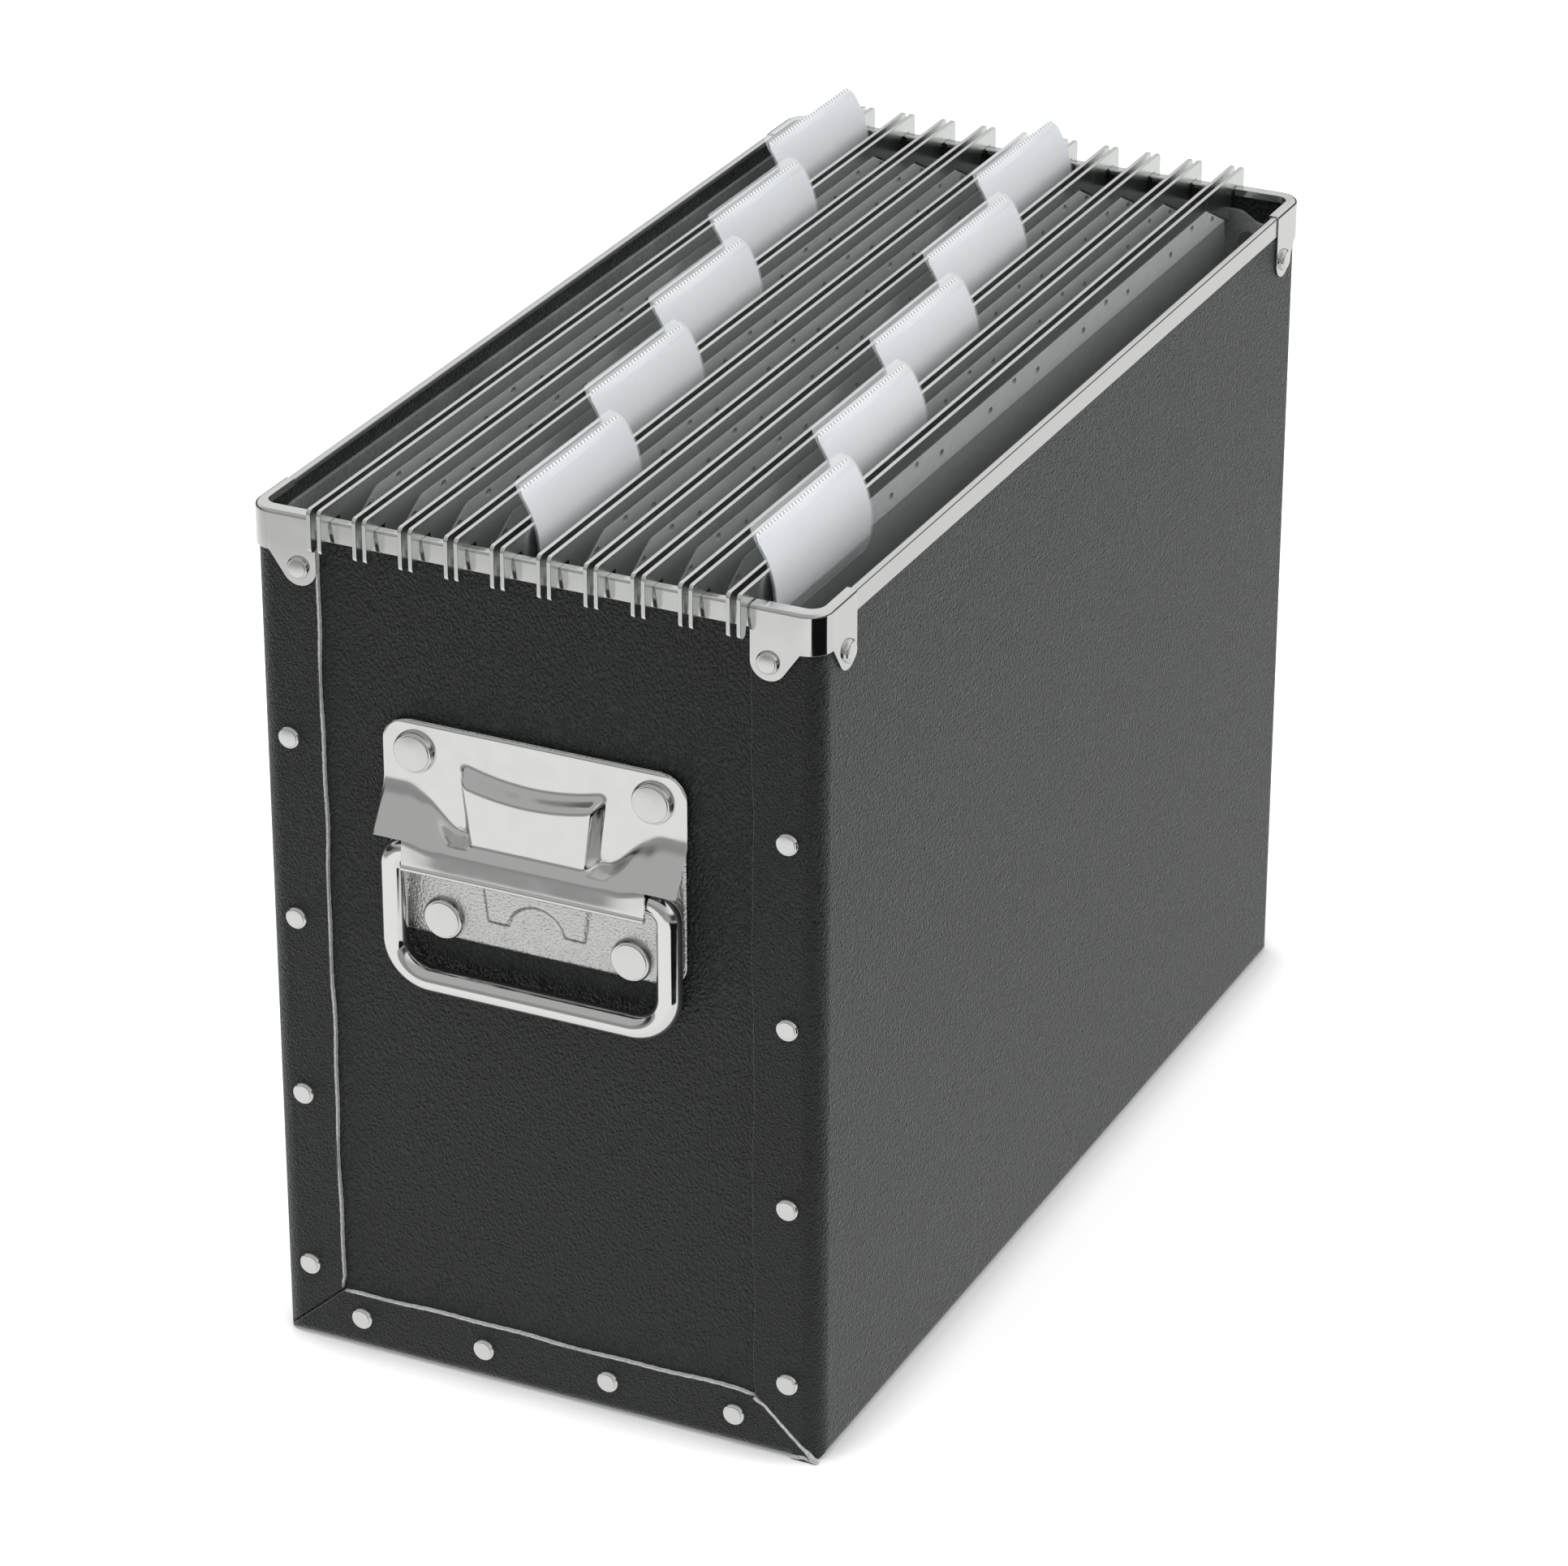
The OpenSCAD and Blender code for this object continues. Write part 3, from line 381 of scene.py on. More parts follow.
# The base plate's nickel is drawn darker than the cover plate's: painted shade, for the shadow of the
# cover plate's barrel over it.
GRAINED_SHADED_PLATE = plated("grained_shaded_nickel_pressing", "#cccdcb", rough=(0.16, 0.26),
                       wave=(14 * MM, 0.1 * MM), grit=(0.7 * MM, 0.3 * MM))
FIBRE = raw_fibre("cut_fibreboard_edge")

for node, slot in SLOT_OF.items():
    solid = frame["nodes"][node]
    solid.data.materials.clear()
    solid.data.materials.append(FINISHES[slot])


# Merged copies of CAD nodes: metal with eased edges, and labels

WELD = 0.002 * MM            # points nearer than this are one
FLAT = math.radians(0.2)     # faces that meet at less than this are one
SHARP = math.radians(50)     # a flatter edge than this is shaded as one surface
RIM_EDGE = 0.12 * MM         # radius of the edges of rims and caps
RAIL_EDGE = 0.3 * MM         # radius of the edges of the hanger rails
LABEL_FILL = 1.062           # how much wider a label is drawn, so that it fills its sleeve


def even_shading(piece):
    """Keeps the flat faces of a smooth-shaded piece flat up to their rounded edges."""
    piece.data.set_sharp_from_angle(angle=SHARP)
    normals = piece.modifiers.new("even_shading", "WEIGHTED_NORMAL")
    normals.keep_sharp = True


def merged(node):
    """A CAD node's mesh with its loose triangles joined, as a bmesh."""
    shape = bmesh.new()
    shape.from_mesh(frame["nodes"][node].data)
    bmesh.ops.remove_doubles(shape, verts=shape.verts[:], dist=WELD)
    return shape


def stand_in(node, name, shape):
    """Puts a merged copy, smooth-shaded, in the place of its CAD node."""
    for face in shape.faces:
        face.smooth = True
    mesh = bpy.data.meshes.new(name)
    shape.to_mesh(mesh)
    shape.free()
    mesh.materials.append(FINISHES[SLOT_OF[node]])
    piece = linked(name, mesh)
    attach(piece, BODY_OF[node])
    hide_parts(node)
    return piece


def eased(node, radius):
    """Stands for a CAD node with a copy whose flat faces are joined and whose edges are rounded to the
    radius, as the edges of pressed and plated metal are."""
    shape = merged(node)
    bmesh.ops.dissolve_limit(shape, angle_limit=FLAT, verts=shape.verts[:], edges=shape.edges[:])
    if radius:
        sharp = [edge for edge in shape.edges if edge.is_manifold and edge.calc_face_angle() > SHARP]
        bmesh.ops.bevel(shape, geom=sharp, offset=radius, offset_type="OFFSET", segments=2,
                        profile=0.5, affect="EDGES", clamp_overlap=True)
    even_shading(stand_in(node, node + "_eased", shape))


def filling_label(node):
    """Stands for a label's node with a copy that is stretched about its middle along the sleeve, so
    that it reaches the sleeve's open ends."""
    shape = merged(node)
    along = [point.co.y for point in shape.verts]
    middle = (min(along) + max(along)) / 2
    for point in shape.verts:
        point.co.y = middle + (point.co.y - middle) * LABEL_FILL
    sheet = stand_in(node, node + "_sheet", shape)
    sheet.data.set_sharp_from_angle(angle=SHARP)


EDGE_OF = {"rim_metal": RIM_EDGE, "cap_metal": RIM_EDGE, "rail_metal": RAIL_EDGE, "bail_metal": 0.0}

for node, slot in SLOT_OF.items():
    if slot in EDGE_OF:
        eased(node, EDGE_OF[slot])
    elif slot == "label_paper":
        filling_label(node)


# Rivets

SEAM_RIVET = {"radius": 3.3 * MM, "height": 1.4 * MM, "disc": 2.45 * MM, "shoulder": 0.62 * MM,
              "shank": 1.6 * MM, "tail": 2.8 * MM, "tail_height": 0.8 * MM}
HANDLE_RIVET = {"radius": 6.1 * MM, "height": 2.2 * MM, "disc": 4.95 * MM, "shoulder": 0.85 * MM,
                "shank": 2.5 * MM, "tail": 3.7 * MM, "tail_height": 1.2 * MM}
DOME_FALL = 0.1          # fall of the dome to its edge, as a share of the head's height
SHOULDER_TOP = 0.78      # height of the shoulder, as a share of the head's height
TAIL_BORE = 0.3          # bore of the tail, as a share of its radius
TAIL_FLOOR = 0.6         # depth of that bore, as a share of the tail's height
RIVET_STEPS = 40         # steps round a rivet

SEAM_X = 0.0736          # column of rivets of an upright flap
SEAM_Z = (23.5 * MM, 77.8 * MM, 132.1 * MM, 186.4 * MM)
BASE_SEAM_X = (-57.6 * MM, -19.2 * MM, 19.2 * MM, 57.6 * MM)
BASE_SEAM_Z = 0.0098     # row of rivets of the base flap
EAR_INSET = 0.0154       # a cap rivet, in from the outside of the corner
EAR_RIVET_Z = 0.2372
COVER_RIVET = (35.2 * MM, 190.4 * MM)    # x and z of a rivet of the cover plate
BASE_RIVET = (28.0 * MM, 142.2 * MM)     # and of the base plate


def rivet_profile(grip, radius, height, disc, shoulder, shank, tail, tail_height):
    """Profile (distance from the axis, height over the seat) of a whole rivet: a low dome as far as
    disc, a small step down, a round shoulder (a part of an ellipse), the shank, and the clinched
    tail with its bore."""
    share = np.linspace(0, 1, 8)
    dome = np.stack([disc * share, height * (1 - DOME_FALL * share ** 2)], axis=1)
    angle = np.radians(np.linspace(105, 0, 9))
    ring = np.stack([radius - shoulder + shoulder * np.cos(angle),
                     SHOULDER_TOP * height * np.sin(angle)], axis=1)
    foot = -grip - tail_height
    bore = TAIL_BORE * tail
    top = foot + TAIL_FLOOR * tail_height
    rest = [(shank, 0), (shank, -grip), (tail, -grip), (tail, foot), (bore, foot), (bore, top), (0, top)]
    return np.vstack([dome, ring, rest])


def turned(profile, seat, out):
    """Points and faces of a profile carried round the axis that leaves the seat in the direction out."""
    out = np.array(out, float)
    up = np.array([0, 0, 1.0])
    angle = np.linspace(0, 2 * np.pi, RIVET_STEPS, endpoint=False)
    round_way = np.cos(angle)[:, None] * up + np.sin(angle)[:, None] * np.cross(out, up)
    rings = profile[1:-1]
    count = len(rings)
    rows = seat + rings[:, 1][:, None, None] * out + rings[:, 0][:, None, None] * round_way
    points = np.vstack([rows.reshape(-1, 3), [seat + profile[0, 1] * out], [seat + profile[-1, 1] * out]])
    row, step = np.meshgrid(np.arange(count - 1), np.arange(RIVET_STEPS), indexing="ij")
    here = row * RIVET_STEPS + step
    beside = row * RIVET_STEPS + (step + 1) % RIVET_STEPS
    quads = np.stack([here, here + RIVET_STEPS, beside + RIVET_STEPS, beside], axis=-1).reshape(-1, 4)
    first, last = count * RIVET_STEPS, count * RIVET_STEPS + 1
    base = (count - 1) * RIVET_STEPS
    after = [(i + 1) % RIVET_STEPS for i in range(RIVET_STEPS)]
    head = [[first, i, after[i]] for i in range(RIVET_STEPS)]
    foot = [[last, base + after[i], base + i] for i in range(RIVET_STEPS)]
    return points, quads.tolist() + head + foot


def rivets(name, node, seats):
    """All rivets of one node as one piece. seats holds (sizes, grip, seat, direction) of each."""
    points, faces = [], []
    for sizes, grip, seat, out in seats:
        placed, made = turned(rivet_profile(grip, **sizes), np.array(seat), out)
        start = sum(map(len, points))
        points.append(placed)
        faces += [[start + i for i in face] for face in made]
    piece = new_piece(name, np.vstack(points), faces, [FINISHES["rivet_metal"]])
    even_shading(piece)
    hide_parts(node)


def panel_seats():
    """The rivets of the seams on both ends, and the two of each corner cap."""
    cap_x, cap_y = SIDE_X + CAP_OUT, END_Y + CAP_OUT
    seams = [(side * SEAM_X, z) for side in (-1, 1) for z in SEAM_Z]
    seams += [(x, BASE_SEAM_Z) for x in BASE_SEAM_X]
    seats = []
    for end in (-1, 1):
        seats += [(SEAM_RIVET, END_Y - LINING_IN, (x, end * END_Y, z), (0, end, 0)) for x, z in seams]
        for side in (-1, 1):
            on_end = (side * (cap_x - EAR_INSET), end * cap_y, EAR_RIVET_Z)
            on_side = (side * cap_x, end * (cap_y - EAR_INSET), EAR_RIVET_Z)
            seats += [(SEAM_RIVET, cap_y - LINING_IN, on_end, (0, end, 0)),
                      (SEAM_RIVET, cap_x - SIDE_LINING_IN, on_side, (side, 0, 0))]
    return seats


def handle_seats():
    """The four rivets of each handle: two through its cover plate and two through its base plate."""
    return [(HANDLE_RIVET, face - LINING_IN, (side * x, end * face, z), (0, end, 0))
            for face, (x, z) in ((COVER_FRONT, COVER_RIVET), (PLATE_FRONT, BASE_RIVET))
            for end in (-1, 1) for side in (-1, 1)]


rivets("turned_panel_rivets", "panel_rivets", panel_seats())
rivets("turned_handle_rivets", "handle_rivets", handle_seats())


# Pressed handle plates

def corner_distance(x, z, half):
    """How far a point lies inside a plate's outline: straight sides, a straight top, round corners."""
    side = np.abs(x) - (half - PLATE_CORNER)
    top = z - (HANDLE_TOP - PLATE_CORNER)
    outside = np.hypot(np.maximum(side, 0), np.maximum(top, 0))
    return PLATE_CORNER - outside - np.minimum(np.maximum(side, top), 0)


def edge_drop(inside, radius):
    """How far the face falls at a plate's rounded edge, inside being the distance from the edge."""
    short = np.clip(radius - inside, 0, radius)
    return radius - np.sqrt(radius ** 2 - short ** 2)


def half_at(z, half):
    """Half width of a plate at a height, less at its round top corners."""
    up = np.clip(z - (HANDLE_TOP - PLATE_CORNER), 0, PLATE_CORNER)
    return half - PLATE_CORNER + np.sqrt(PLATE_CORNER ** 2 - up ** 2)


PAD_TOP = 0.1895         # upper corners of the pressed panel
PAD_LOW = 0.1655         # its foot, in the barrel
PAD_HALF_TOP = 0.0215    # half its width at the top
PAD_HALF_LOW = 0.0185    # and at the foot
PAD_RISE = 0.0044        # how far it stands out
PAD_WALL = 0.0018        # width of the slope at its sides
PAD_BAND = 0.003         # and along its top
PAD_SAG_Z = 0.1862       # lowest point of its sagging top
PAD_SAG_R = 0.07         # radius of the sag
SHOULDER_LOW = 0.1685    # where the barrel starts beside the panel
SHOULDER_HIGH = 0.1815   # and at the ears
SHOULDER_X = (0.0215, 0.038)     # distances from the middle between which that line climbs
BARREL_FULL = 0.1653     # where the barrel stands out in full beside the panel; at the ears, at EAR_Z
BARREL_FULL_X = (0.026, 0.038)   # distances between which that changes
BARREL_LEAN = 0.0016     # how far the barrel's front leans out towards its foot
SLOPE_X = (0.0225, 0.0345)       # distances between which the quarter round becomes a slope
EAR_SOFT = 0.45          # share of an ear's slope over which it starts
SLIT_X, SLIT_Z = 0.0407, 0.1722  # middle of the slit in each ear
SLIT_HALF_W, SLIT_HALF_H = 0.6 * MM, 2.2 * MM
SLIT_DEPTH = 0.7 * MM
COVER_EDGE = 0.35 * MM   # radius of the cover plate's edge
COVER_BLUR = 3           # its shape is softened over so many cells
COVER_ROW = 0.4 * MM     # height of a row of its grid, down to the ears' lower edge
BARREL_ROWS = 18         # rows from there to the lip
LIP_ROWS = 15            # rows round the lip
BARREL_COLUMNS = 160     # columns over the barrel's width
EAR_COLUMNS = 19         # and over each ear's
LIP_JOIN = 0.87          # height over the lip's middle at which it leaves the barrel, in radii
LIP_FROM, LIP_TO = 60, -200      # the lip's arc, in degrees over the level


def cover_height(x, z):
    """How far the cover plate stands out of its flat face. The barrel rises from a line that is low
    beside the panel and high at the ears: a quarter round in the middle, a slope with a soft start at
    the ears, both on a face that leans out a little. The panel is a trapezoid with a sagging top, whose
    walls are smooth steps."""
    wide = np.abs(x)
    start = SHOULDER_LOW + (SHOULDER_HIGH - SHOULDER_LOW) * blend(wide, *SHOULDER_X)
    full = BARREL_FULL + (EAR_Z - BARREL_FULL) * blend(wide, *BARREL_FULL_X)
    t = np.clip((start - z) / (start - full), 0, 1)
    straight = blend(wide, *SLOPE_X)
    soft = np.where(t < EAR_SOFT, t * t / (2 * EAR_SOFT), t - EAR_SOFT / 2) / (1 - EAR_SOFT / 2)
    lean = BARREL_LEAN * np.clip((start - z) / (start - LIP_Z), 0, 1)
    rise = BARREL_OUT - COVER_FRONT - BARREL_LEAN
    rise = rise * ((1 - straight) * np.sqrt(2 * t - t * t) + straight * soft) + lean
    half = PAD_HALF_LOW + (PAD_HALF_TOP - PAD_HALF_LOW) * (z - PAD_LOW) / (PAD_TOP - PAD_LOW)
    sag = np.hypot(x, z - (PAD_SAG_Z + PAD_SAG_R)) - PAD_SAG_R
    pad = PAD_RISE * smooth((half - wide) / PAD_WALL) * smooth(np.minimum(sag, PAD_TOP - z) / PAD_BAND)
    slit = SLIT_DEPTH * np.exp(-((wide - SLIT_X) / SLIT_HALF_W) ** 2 - ((z - SLIT_Z) / SLIT_HALF_H) ** 4)
    return np.maximum(rise, pad) - slit


def cover_plate():
    """Points and quads of the front cover plate: a grid over width and height, then the rolled lip.
    Below the ears it is only as wide as the barrel."""
    zs = np.concatenate([np.arange(HANDLE_TOP, EAR_Z + COVER_ROW / 2, -COVER_ROW), [EAR_Z],
                         np.linspace(EAR_Z, LIP_Z + LIP_JOIN * LIP_R, BARREL_ROWS + 1)[1:]])
    ear = np.linspace(BARREL_HALF, COVER_HALF, EAR_COLUMNS + 1)[1:]
    xs = np.concatenate([-ear[::-1], np.linspace(-BARREL_HALF, BARREL_HALF, BARREL_COLUMNS + 1), ear])
    x, z = np.meshgrid(xs, zs)
    height = blurred(cover_height(x, z), COVER_BLUR)
    room = (half_at(z, COVER_HALF) - BARREL_HALF) / (COVER_HALF - BARREL_HALF)
    beyond = np.maximum(np.abs(x) - BARREL_HALF, 0)
    x = np.sign(x) * (np.minimum(np.abs(x), BARREL_HALF) + beyond * room)
    out = COVER_FRONT + height - edge_drop(corner_distance(x, z, COVER_HALF), COVER_EDGE)
    turn = np.radians(np.linspace(LIP_FROM, LIP_TO, LIP_ROWS + 1))[1:]
    lip_x = np.broadcast_to(xs, (len(turn), len(xs)))
    lip_y = np.broadcast_to((BARREL_OUT - LIP_R / 2 + LIP_R * np.cos(turn))[:, None], lip_x.shape)
    lip_z = np.broadcast_to((LIP_Z + LIP_R * np.sin(turn))[:, None], lip_x.shape)
    x, out, z = np.vstack([x, lip_x]), np.vstack([out, lip_y]), np.vstack([z, lip_z])
    points = np.stack([x, -out, z], axis=-1).reshape(-1, 3)
    rows, cols = x.shape
    kept = np.ones((rows - 1, cols - 1), bool)
    first_below = int(np.argmin(np.abs(zs - EAR_Z)))
    kept[first_below:, :EAR_COLUMNS] = False
    kept[first_below:, -EAR_COLUMNS:] = False
    return used(points, grid_faces(rows, cols, kept)[:, ::-1])


CUP_TOP = 0.1685         # the base plate's raised shape, under the barrel
CUP_LOW = 0.1437         # its foot
CUP_HALF_TOP = 0.018     # half its width at the top
CUP_HALF_LOW = 0.015     # and at the foot
CUP_RISE = 0.0014        # how far it stands out
CUP_WALL = 0.0013        # width of the slope round it
WAVE_R = 0.008           # radius of the wave in its foot
WAVE_DROP = 0.001        # how far the wave's middle lies below the foot
BEAD_X = 0.0402          # a bead along each side
BEAD_HALF = 0.0013       # half its width
BEAD_RISE = 0.0009       # how far it stands out
BEAD_LOW, BEAD_LOW_FADE = 0.1445, 0.003      # its lower end, and how long that fades in
BEAD_HIGH, BEAD_HIGH_FADE = 0.166, 0.002     # and the upper end
BASE_EDGE = 0.3 * MM     # radius of the base plate's edge
BASE_BLUR = 1            # its shape is softened over so many cells
BASE_COLUMNS, BASE_ROWS = 189, 139           # cells of its grid


def base_height(x, z):
    """How far the base plate stands out: a raised trapezoid whose foot has one wave, and a bead along
    each side."""
    wide = np.abs(x)
    half = CUP_HALF_LOW + (CUP_HALF_TOP - CUP_HALF_LOW) * (z - CUP_LOW) / (CUP_TOP - CUP_LOW)
    inside = np.minimum(np.minimum(half - wide, z - CUP_LOW), CUP_TOP - z)
    inside = np.minimum(inside, np.hypot(x, z - (CUP_LOW - WAVE_DROP)) - WAVE_R)
    cup = CUP_RISE * smooth(inside / CUP_WALL)
    bead = BEAD_RISE * np.exp(-((wide - BEAD_X) / BEAD_HALF) ** 2)
    bead *= smooth((z - BEAD_LOW) / BEAD_LOW_FADE) * smooth((BEAD_HIGH - z) / BEAD_HIGH_FADE)
    return np.maximum(cup, bead)


def base_plate():
    """Points and quads of the front base plate: a grid over width and height, with round corners."""
    across, z = np.meshgrid(np.linspace(-1, 1, BASE_COLUMNS + 1),
                            np.linspace(HANDLE_TOP, BASE_LOW, BASE_ROWS + 1))
    middle = (HANDLE_TOP + BASE_LOW) / 2
    mirrored = middle + np.abs(z - middle)
    x = across * half_at(mirrored, BASE_HALF)
    inside = corner_distance(x, mirrored, BASE_HALF)
    out = PLATE_FRONT + blurred(base_height(x, z), BASE_BLUR) - edge_drop(inside, BASE_EDGE)
    points = np.stack([x, -out, z], axis=-1).reshape(-1, 3)
    return points, grid_faces(*x.shape)[:, ::-1]


SHEARED_EDGE = 0.18 * MM     # width of the bevel on the sheared edges of both plates


def plate_pair(kind, shape, finish):
    """The front and the rear plate, each given its thickness towards the board and a fine round edge."""
    points, faces = shape
    for end, placed in (("front", points), ("rear", turned_round(points))):
        plate = new_piece("%s_%s_plate" % (end, kind), placed, faces, [finish])
        wall = plate.modifiers.new("sheet", "SOLIDIFY")
        wall.thickness, wall.offset = PLATE_T, -1
        edge = plate.modifiers.new("edge", "BEVEL")
        edge.width, edge.segments, edge.limit_method = SHEARED_EDGE, 2, "ANGLE"
        edge.angle_limit, edge.harden_normals = SHARP, True
        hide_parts("%s_handle_%s" % (end, kind))


plate_pair("cover", cover_plate(), FINISHES["handle_metal"])
plate_pair("base", base_plate(), GRAINED_SHADED_PLATE)


# Raw edges of the flaps

EDGE_STEPS = 181         # cross-sections of a strip
EDGE_MEAN = 0.5 * MM     # how far a strip stands inward on average
EDGE_WAVES = ((0.26 * MM, 71 * MM), (0.16 * MM, 29 * MM), (0.05 * MM, 4.1 * MM))     # depth, length
EDGE_LEAST = 0.04 * MM   # the waves leave at least this much
EDGE_END = 0.05 * MM     # how far it stands inward at its ends
EDGE_TAPER = 4 * MM      # length over which it narrows to its ends
EDGE_ROOT = 0.3 * MM     # how far it reaches back over the flap, at least
BEVEL_FALL = 0.6         # how far a bevel falls back, as a share of its width
SKIN_OUT = 0.01 * MM     # how far its skin stands out of the board's
INSET = 0.02 * MM        # how far its back stays inside the board's


def ragged_width(along, phase):
    """How far a strip stands inward: a mean and three sine waves, narrowed at both ends."""
    wave = sum(depth * np.sin(along * 2 * np.pi / length + phase * number)
               for number, (depth, length) in enumerate(EDGE_WAVES, start=1))
    ends = smooth(np.minimum(along, along[::-1]) / EDGE_TAPER)
    return EDGE_END + np.clip(EDGE_MEAN + wave, EDGE_LEAST, None) * ends


def bar_faces(count, corners):
    """Faces of a bar with count cross-sections of so many corners each: its sides, then its ends."""
    first = np.arange(count - 1)[:, None] * corners
    here = first + np.arange(corners)
    beside = first + (np.arange(corners) + 1) % corners
    sides = np.stack([here, beside, beside + corners, here + corners], axis=-1).reshape(-1, 4).tolist()
    last = (count - 1) * corners
    return sides + [list(range(corners))[::-1], list(range(last, last + corners))]


def raw_edge(name, start, stop, inward, bevel, phase, high=SKIN_OUT, low=None):
    """A ragged strip on the cut edge of a flap, from start to stop (x, z) on the front end, and again
    on the rear end. Its black skin ends short of the edge by the bevel, where the grey fibre shows.
    high and low are how far the bevel's two edges stand out of the board."""
    low = -BEVEL_FALL * bevel if low is None else low
    start, inward = np.array(start), np.array(inward)
    way = np.array(stop) - start
    along = np.linspace(0, np.hypot(*way), EDGE_STEPS)
    ragged = ragged_width(along, phase)
    path = start + way * (along / along[-1])[:, None]
    back = END_Y - BOARD_T + INSET
    root = -max(EDGE_ROOT, bevel)
    section = [(root, END_Y + high, 0), (-bevel, END_Y + high, 1), (0, END_Y + low, 1),
               (0, back, 1), (root, back, 0)]
    rows = []
    for offset, out, share in section:
        flat = path + inward * (offset + share * ragged)[:, None]
        rows.append(np.stack([flat[:, 0], np.full(EDGE_STEPS, -out), flat[:, 1]], axis=-1))
    points = np.stack(rows, axis=1).reshape(-1, 3)
    faces = bar_faces(EDGE_STEPS, len(section))
    if inward[0] * way[1] < inward[1] * way[0]:
        faces = [face[::-1] for face in faces]
    skin, fibre = 0, 1
    face_material = [skin, fibre, fibre, fibre, skin] * (EDGE_STEPS - 1) + [fibre, fibre]
    for end, placed in (("front", points), ("rear", turned_round(points))):
        strip = new_piece("%s_%s" % (end, name), placed, faces, [FINISHES["box_board"], FIBRE],
                          face_material, shade=False)


FLAP_X = SIDE_X - FLAP_W     # cut edge of an upright flap
RAW_LOW = BASE_FLAP_H + 1 * MM
RAW_TOP = 0.2455             # under the rims
FOOT_Z = 1.1 * MM            # the worn foot starts so far above the floor
raw_edge("left_flap_edge", (-FLAP_X, RAW_LOW), (-FLAP_X, RAW_TOP), inward=(1, 0),
         bevel=0.45 * MM, phase=1.0)
raw_edge("right_flap_edge", (FLAP_X, RAW_LOW), (FLAP_X, RAW_TOP), inward=(-1, 0),
         bevel=0.03 * MM, phase=2.3)
raw_edge("base_flap_edge", (-FLAP_X + 1 * MM, BASE_FLAP_H), (FLAP_X - 1 * MM, BASE_FLAP_H),
         inward=(0, 1), bevel=0.35 * MM, phase=4.1)

MITRE_OUT = np.array([BASE_FLAP_H, FLAP_W]) / math.hypot(BASE_FLAP_H, FLAP_W)
MITRE_TOP = np.array([FLAP_X, BASE_FLAP_H]) - MITRE_GAP / 2 * MITRE_OUT
MITRE_FOOT = np.array([SIDE_X - 1.2 * MM, FOOT_Z]) - MITRE_GAP / 2 * MITRE_OUT
FRAYED = {"high": 0.2 * MM, "low": 0.05 * MM}    # both edges of a frayed bevel stand out
raw_edge("mitre_edge", MITRE_TOP, MITRE_FOOT, inward=MITRE_OUT, bevel=0.8 * MM, phase=0.7, **FRAYED)
raw_edge("worn_foot", (SIDE_X - 8.5 * MM, FOOT_Z), (SIDE_X - 0.7 * MM, FOOT_Z), inward=(0, 1),
         bevel=0.9 * MM, phase=2.9, **FRAYED)


# Floor, light and camera

FLOOR_GLOW = 0.35        # the floor's own light in the picture
FLOOR_HALF = 6.0
CONTACT = 13 * MM        # the box darkens the floor within this distance
LIT_MIDDLE = (0.25, 0.2, 0)              # middle of the lit part of the floor
FLAG_Z = 1 * MM
LAMP_AIM = (0, 0, 0.15)  # where the lamps look
WORLD_FRONT = (-0.3, -0.75, 0.6)         # the mirrored world is greyest in this direction


def seen(tree):
    """1 for camera, glossy and transmission rays, 0 for the rays that light the object."""
    path = add(tree, "ShaderNodeLightPath")
    mirror = add(tree, "ShaderNodeMath", {0: path.outputs["Is Camera Ray"],
                                          1: path.outputs["Is Glossy Ray"]}, operation="MAXIMUM")
    return add(tree, "ShaderNodeMath", {0: mirror.outputs[0], 1: path.outputs["Is Transmission Ray"]},
               operation="MAXIMUM").outputs[0]


def staged(name, corners, material):
    """A flat polygon that belongs to the studio."""
    mesh = bpy.data.meshes.new(name)
    mesh.from_pydata(corners, [], [tuple(range(len(corners)))])
    mesh.materials.append(material)
    made = linked(name, mesh)
    return made


def floor_in_picture(tree):
    """White paper that glows a little. Both are darkened close to the box, where it shuts out the
    light."""
    near_box = add(tree, "ShaderNodeAmbientOcclusion", {"Distance": CONTACT}, samples=4)
    contact = add(tree, "ShaderNodeMapRange", {"Value": near_box.outputs["AO"], "From Min": 0.5,
                                               "From Max": 0.9, "To Min": 0.55, "To Max": 1.0})
    white = add(tree, "ShaderNodeMix", {0: contact.outputs[0], 6: linear("#000000"),
                                        7: linear("#f2f2f2")}, data_type="RGBA")
    paper = add(tree, "ShaderNodeBsdfDiffuse", {"Color": white.outputs[2]})
    shown = add(tree, "ShaderNodeMath", {0: seen(tree), 1: FLOOR_GLOW}, operation="MULTIPLY")
    glow = add(tree, "ShaderNodeMath", {0: shown.outputs[0], 1: contact.outputs[0]},
               operation="MULTIPLY")
    light = add(tree, "ShaderNodeEmission", {"Color": linear("#ffffff"), "Strength": glow.outputs[0]})
    return add(tree, "ShaderNodeAddShader", {0: paper.outputs[0], 1: light.outputs[0]}).outputs[0]


def floor_in_mirrors(tree):
    """What metal sees of the floor: nearly white close to the box, white a little further off, and grey
    beyond, where the lamps no longer reach it."""
    place = add(tree, "ShaderNodeTexCoord").outputs["Object"]
    away = add(tree, "ShaderNodeVectorMath", {0: place, 1: LIT_MIDDLE}, operation="DISTANCE")
    far = add(tree, "ShaderNodeMapRange", {"Value": away.outputs["Value"], "From Min": 0.87,
                                           "From Max": 1.25, "To Min": 0.97, "To Max": 0.34},
              interpolation_type="SMOOTHSTEP")
    near = add(tree, "ShaderNodeMapRange", {"Value": away.outputs["Value"], "From Min": 0.45,
                                            "From Max": 0.65, "To Min": 0.92, "To Max": 1.0},
               interpolation_type="SMOOTHSTEP")
    level = add(tree, "ShaderNodeMath", {0: far.outputs[0], 1: near.outputs[0]}, operation="MULTIPLY")
    return add(tree, "ShaderNodeEmission", {"Color": linear("#ffffff"),
                                            "Strength": level.outputs[0]}).outputs[0]


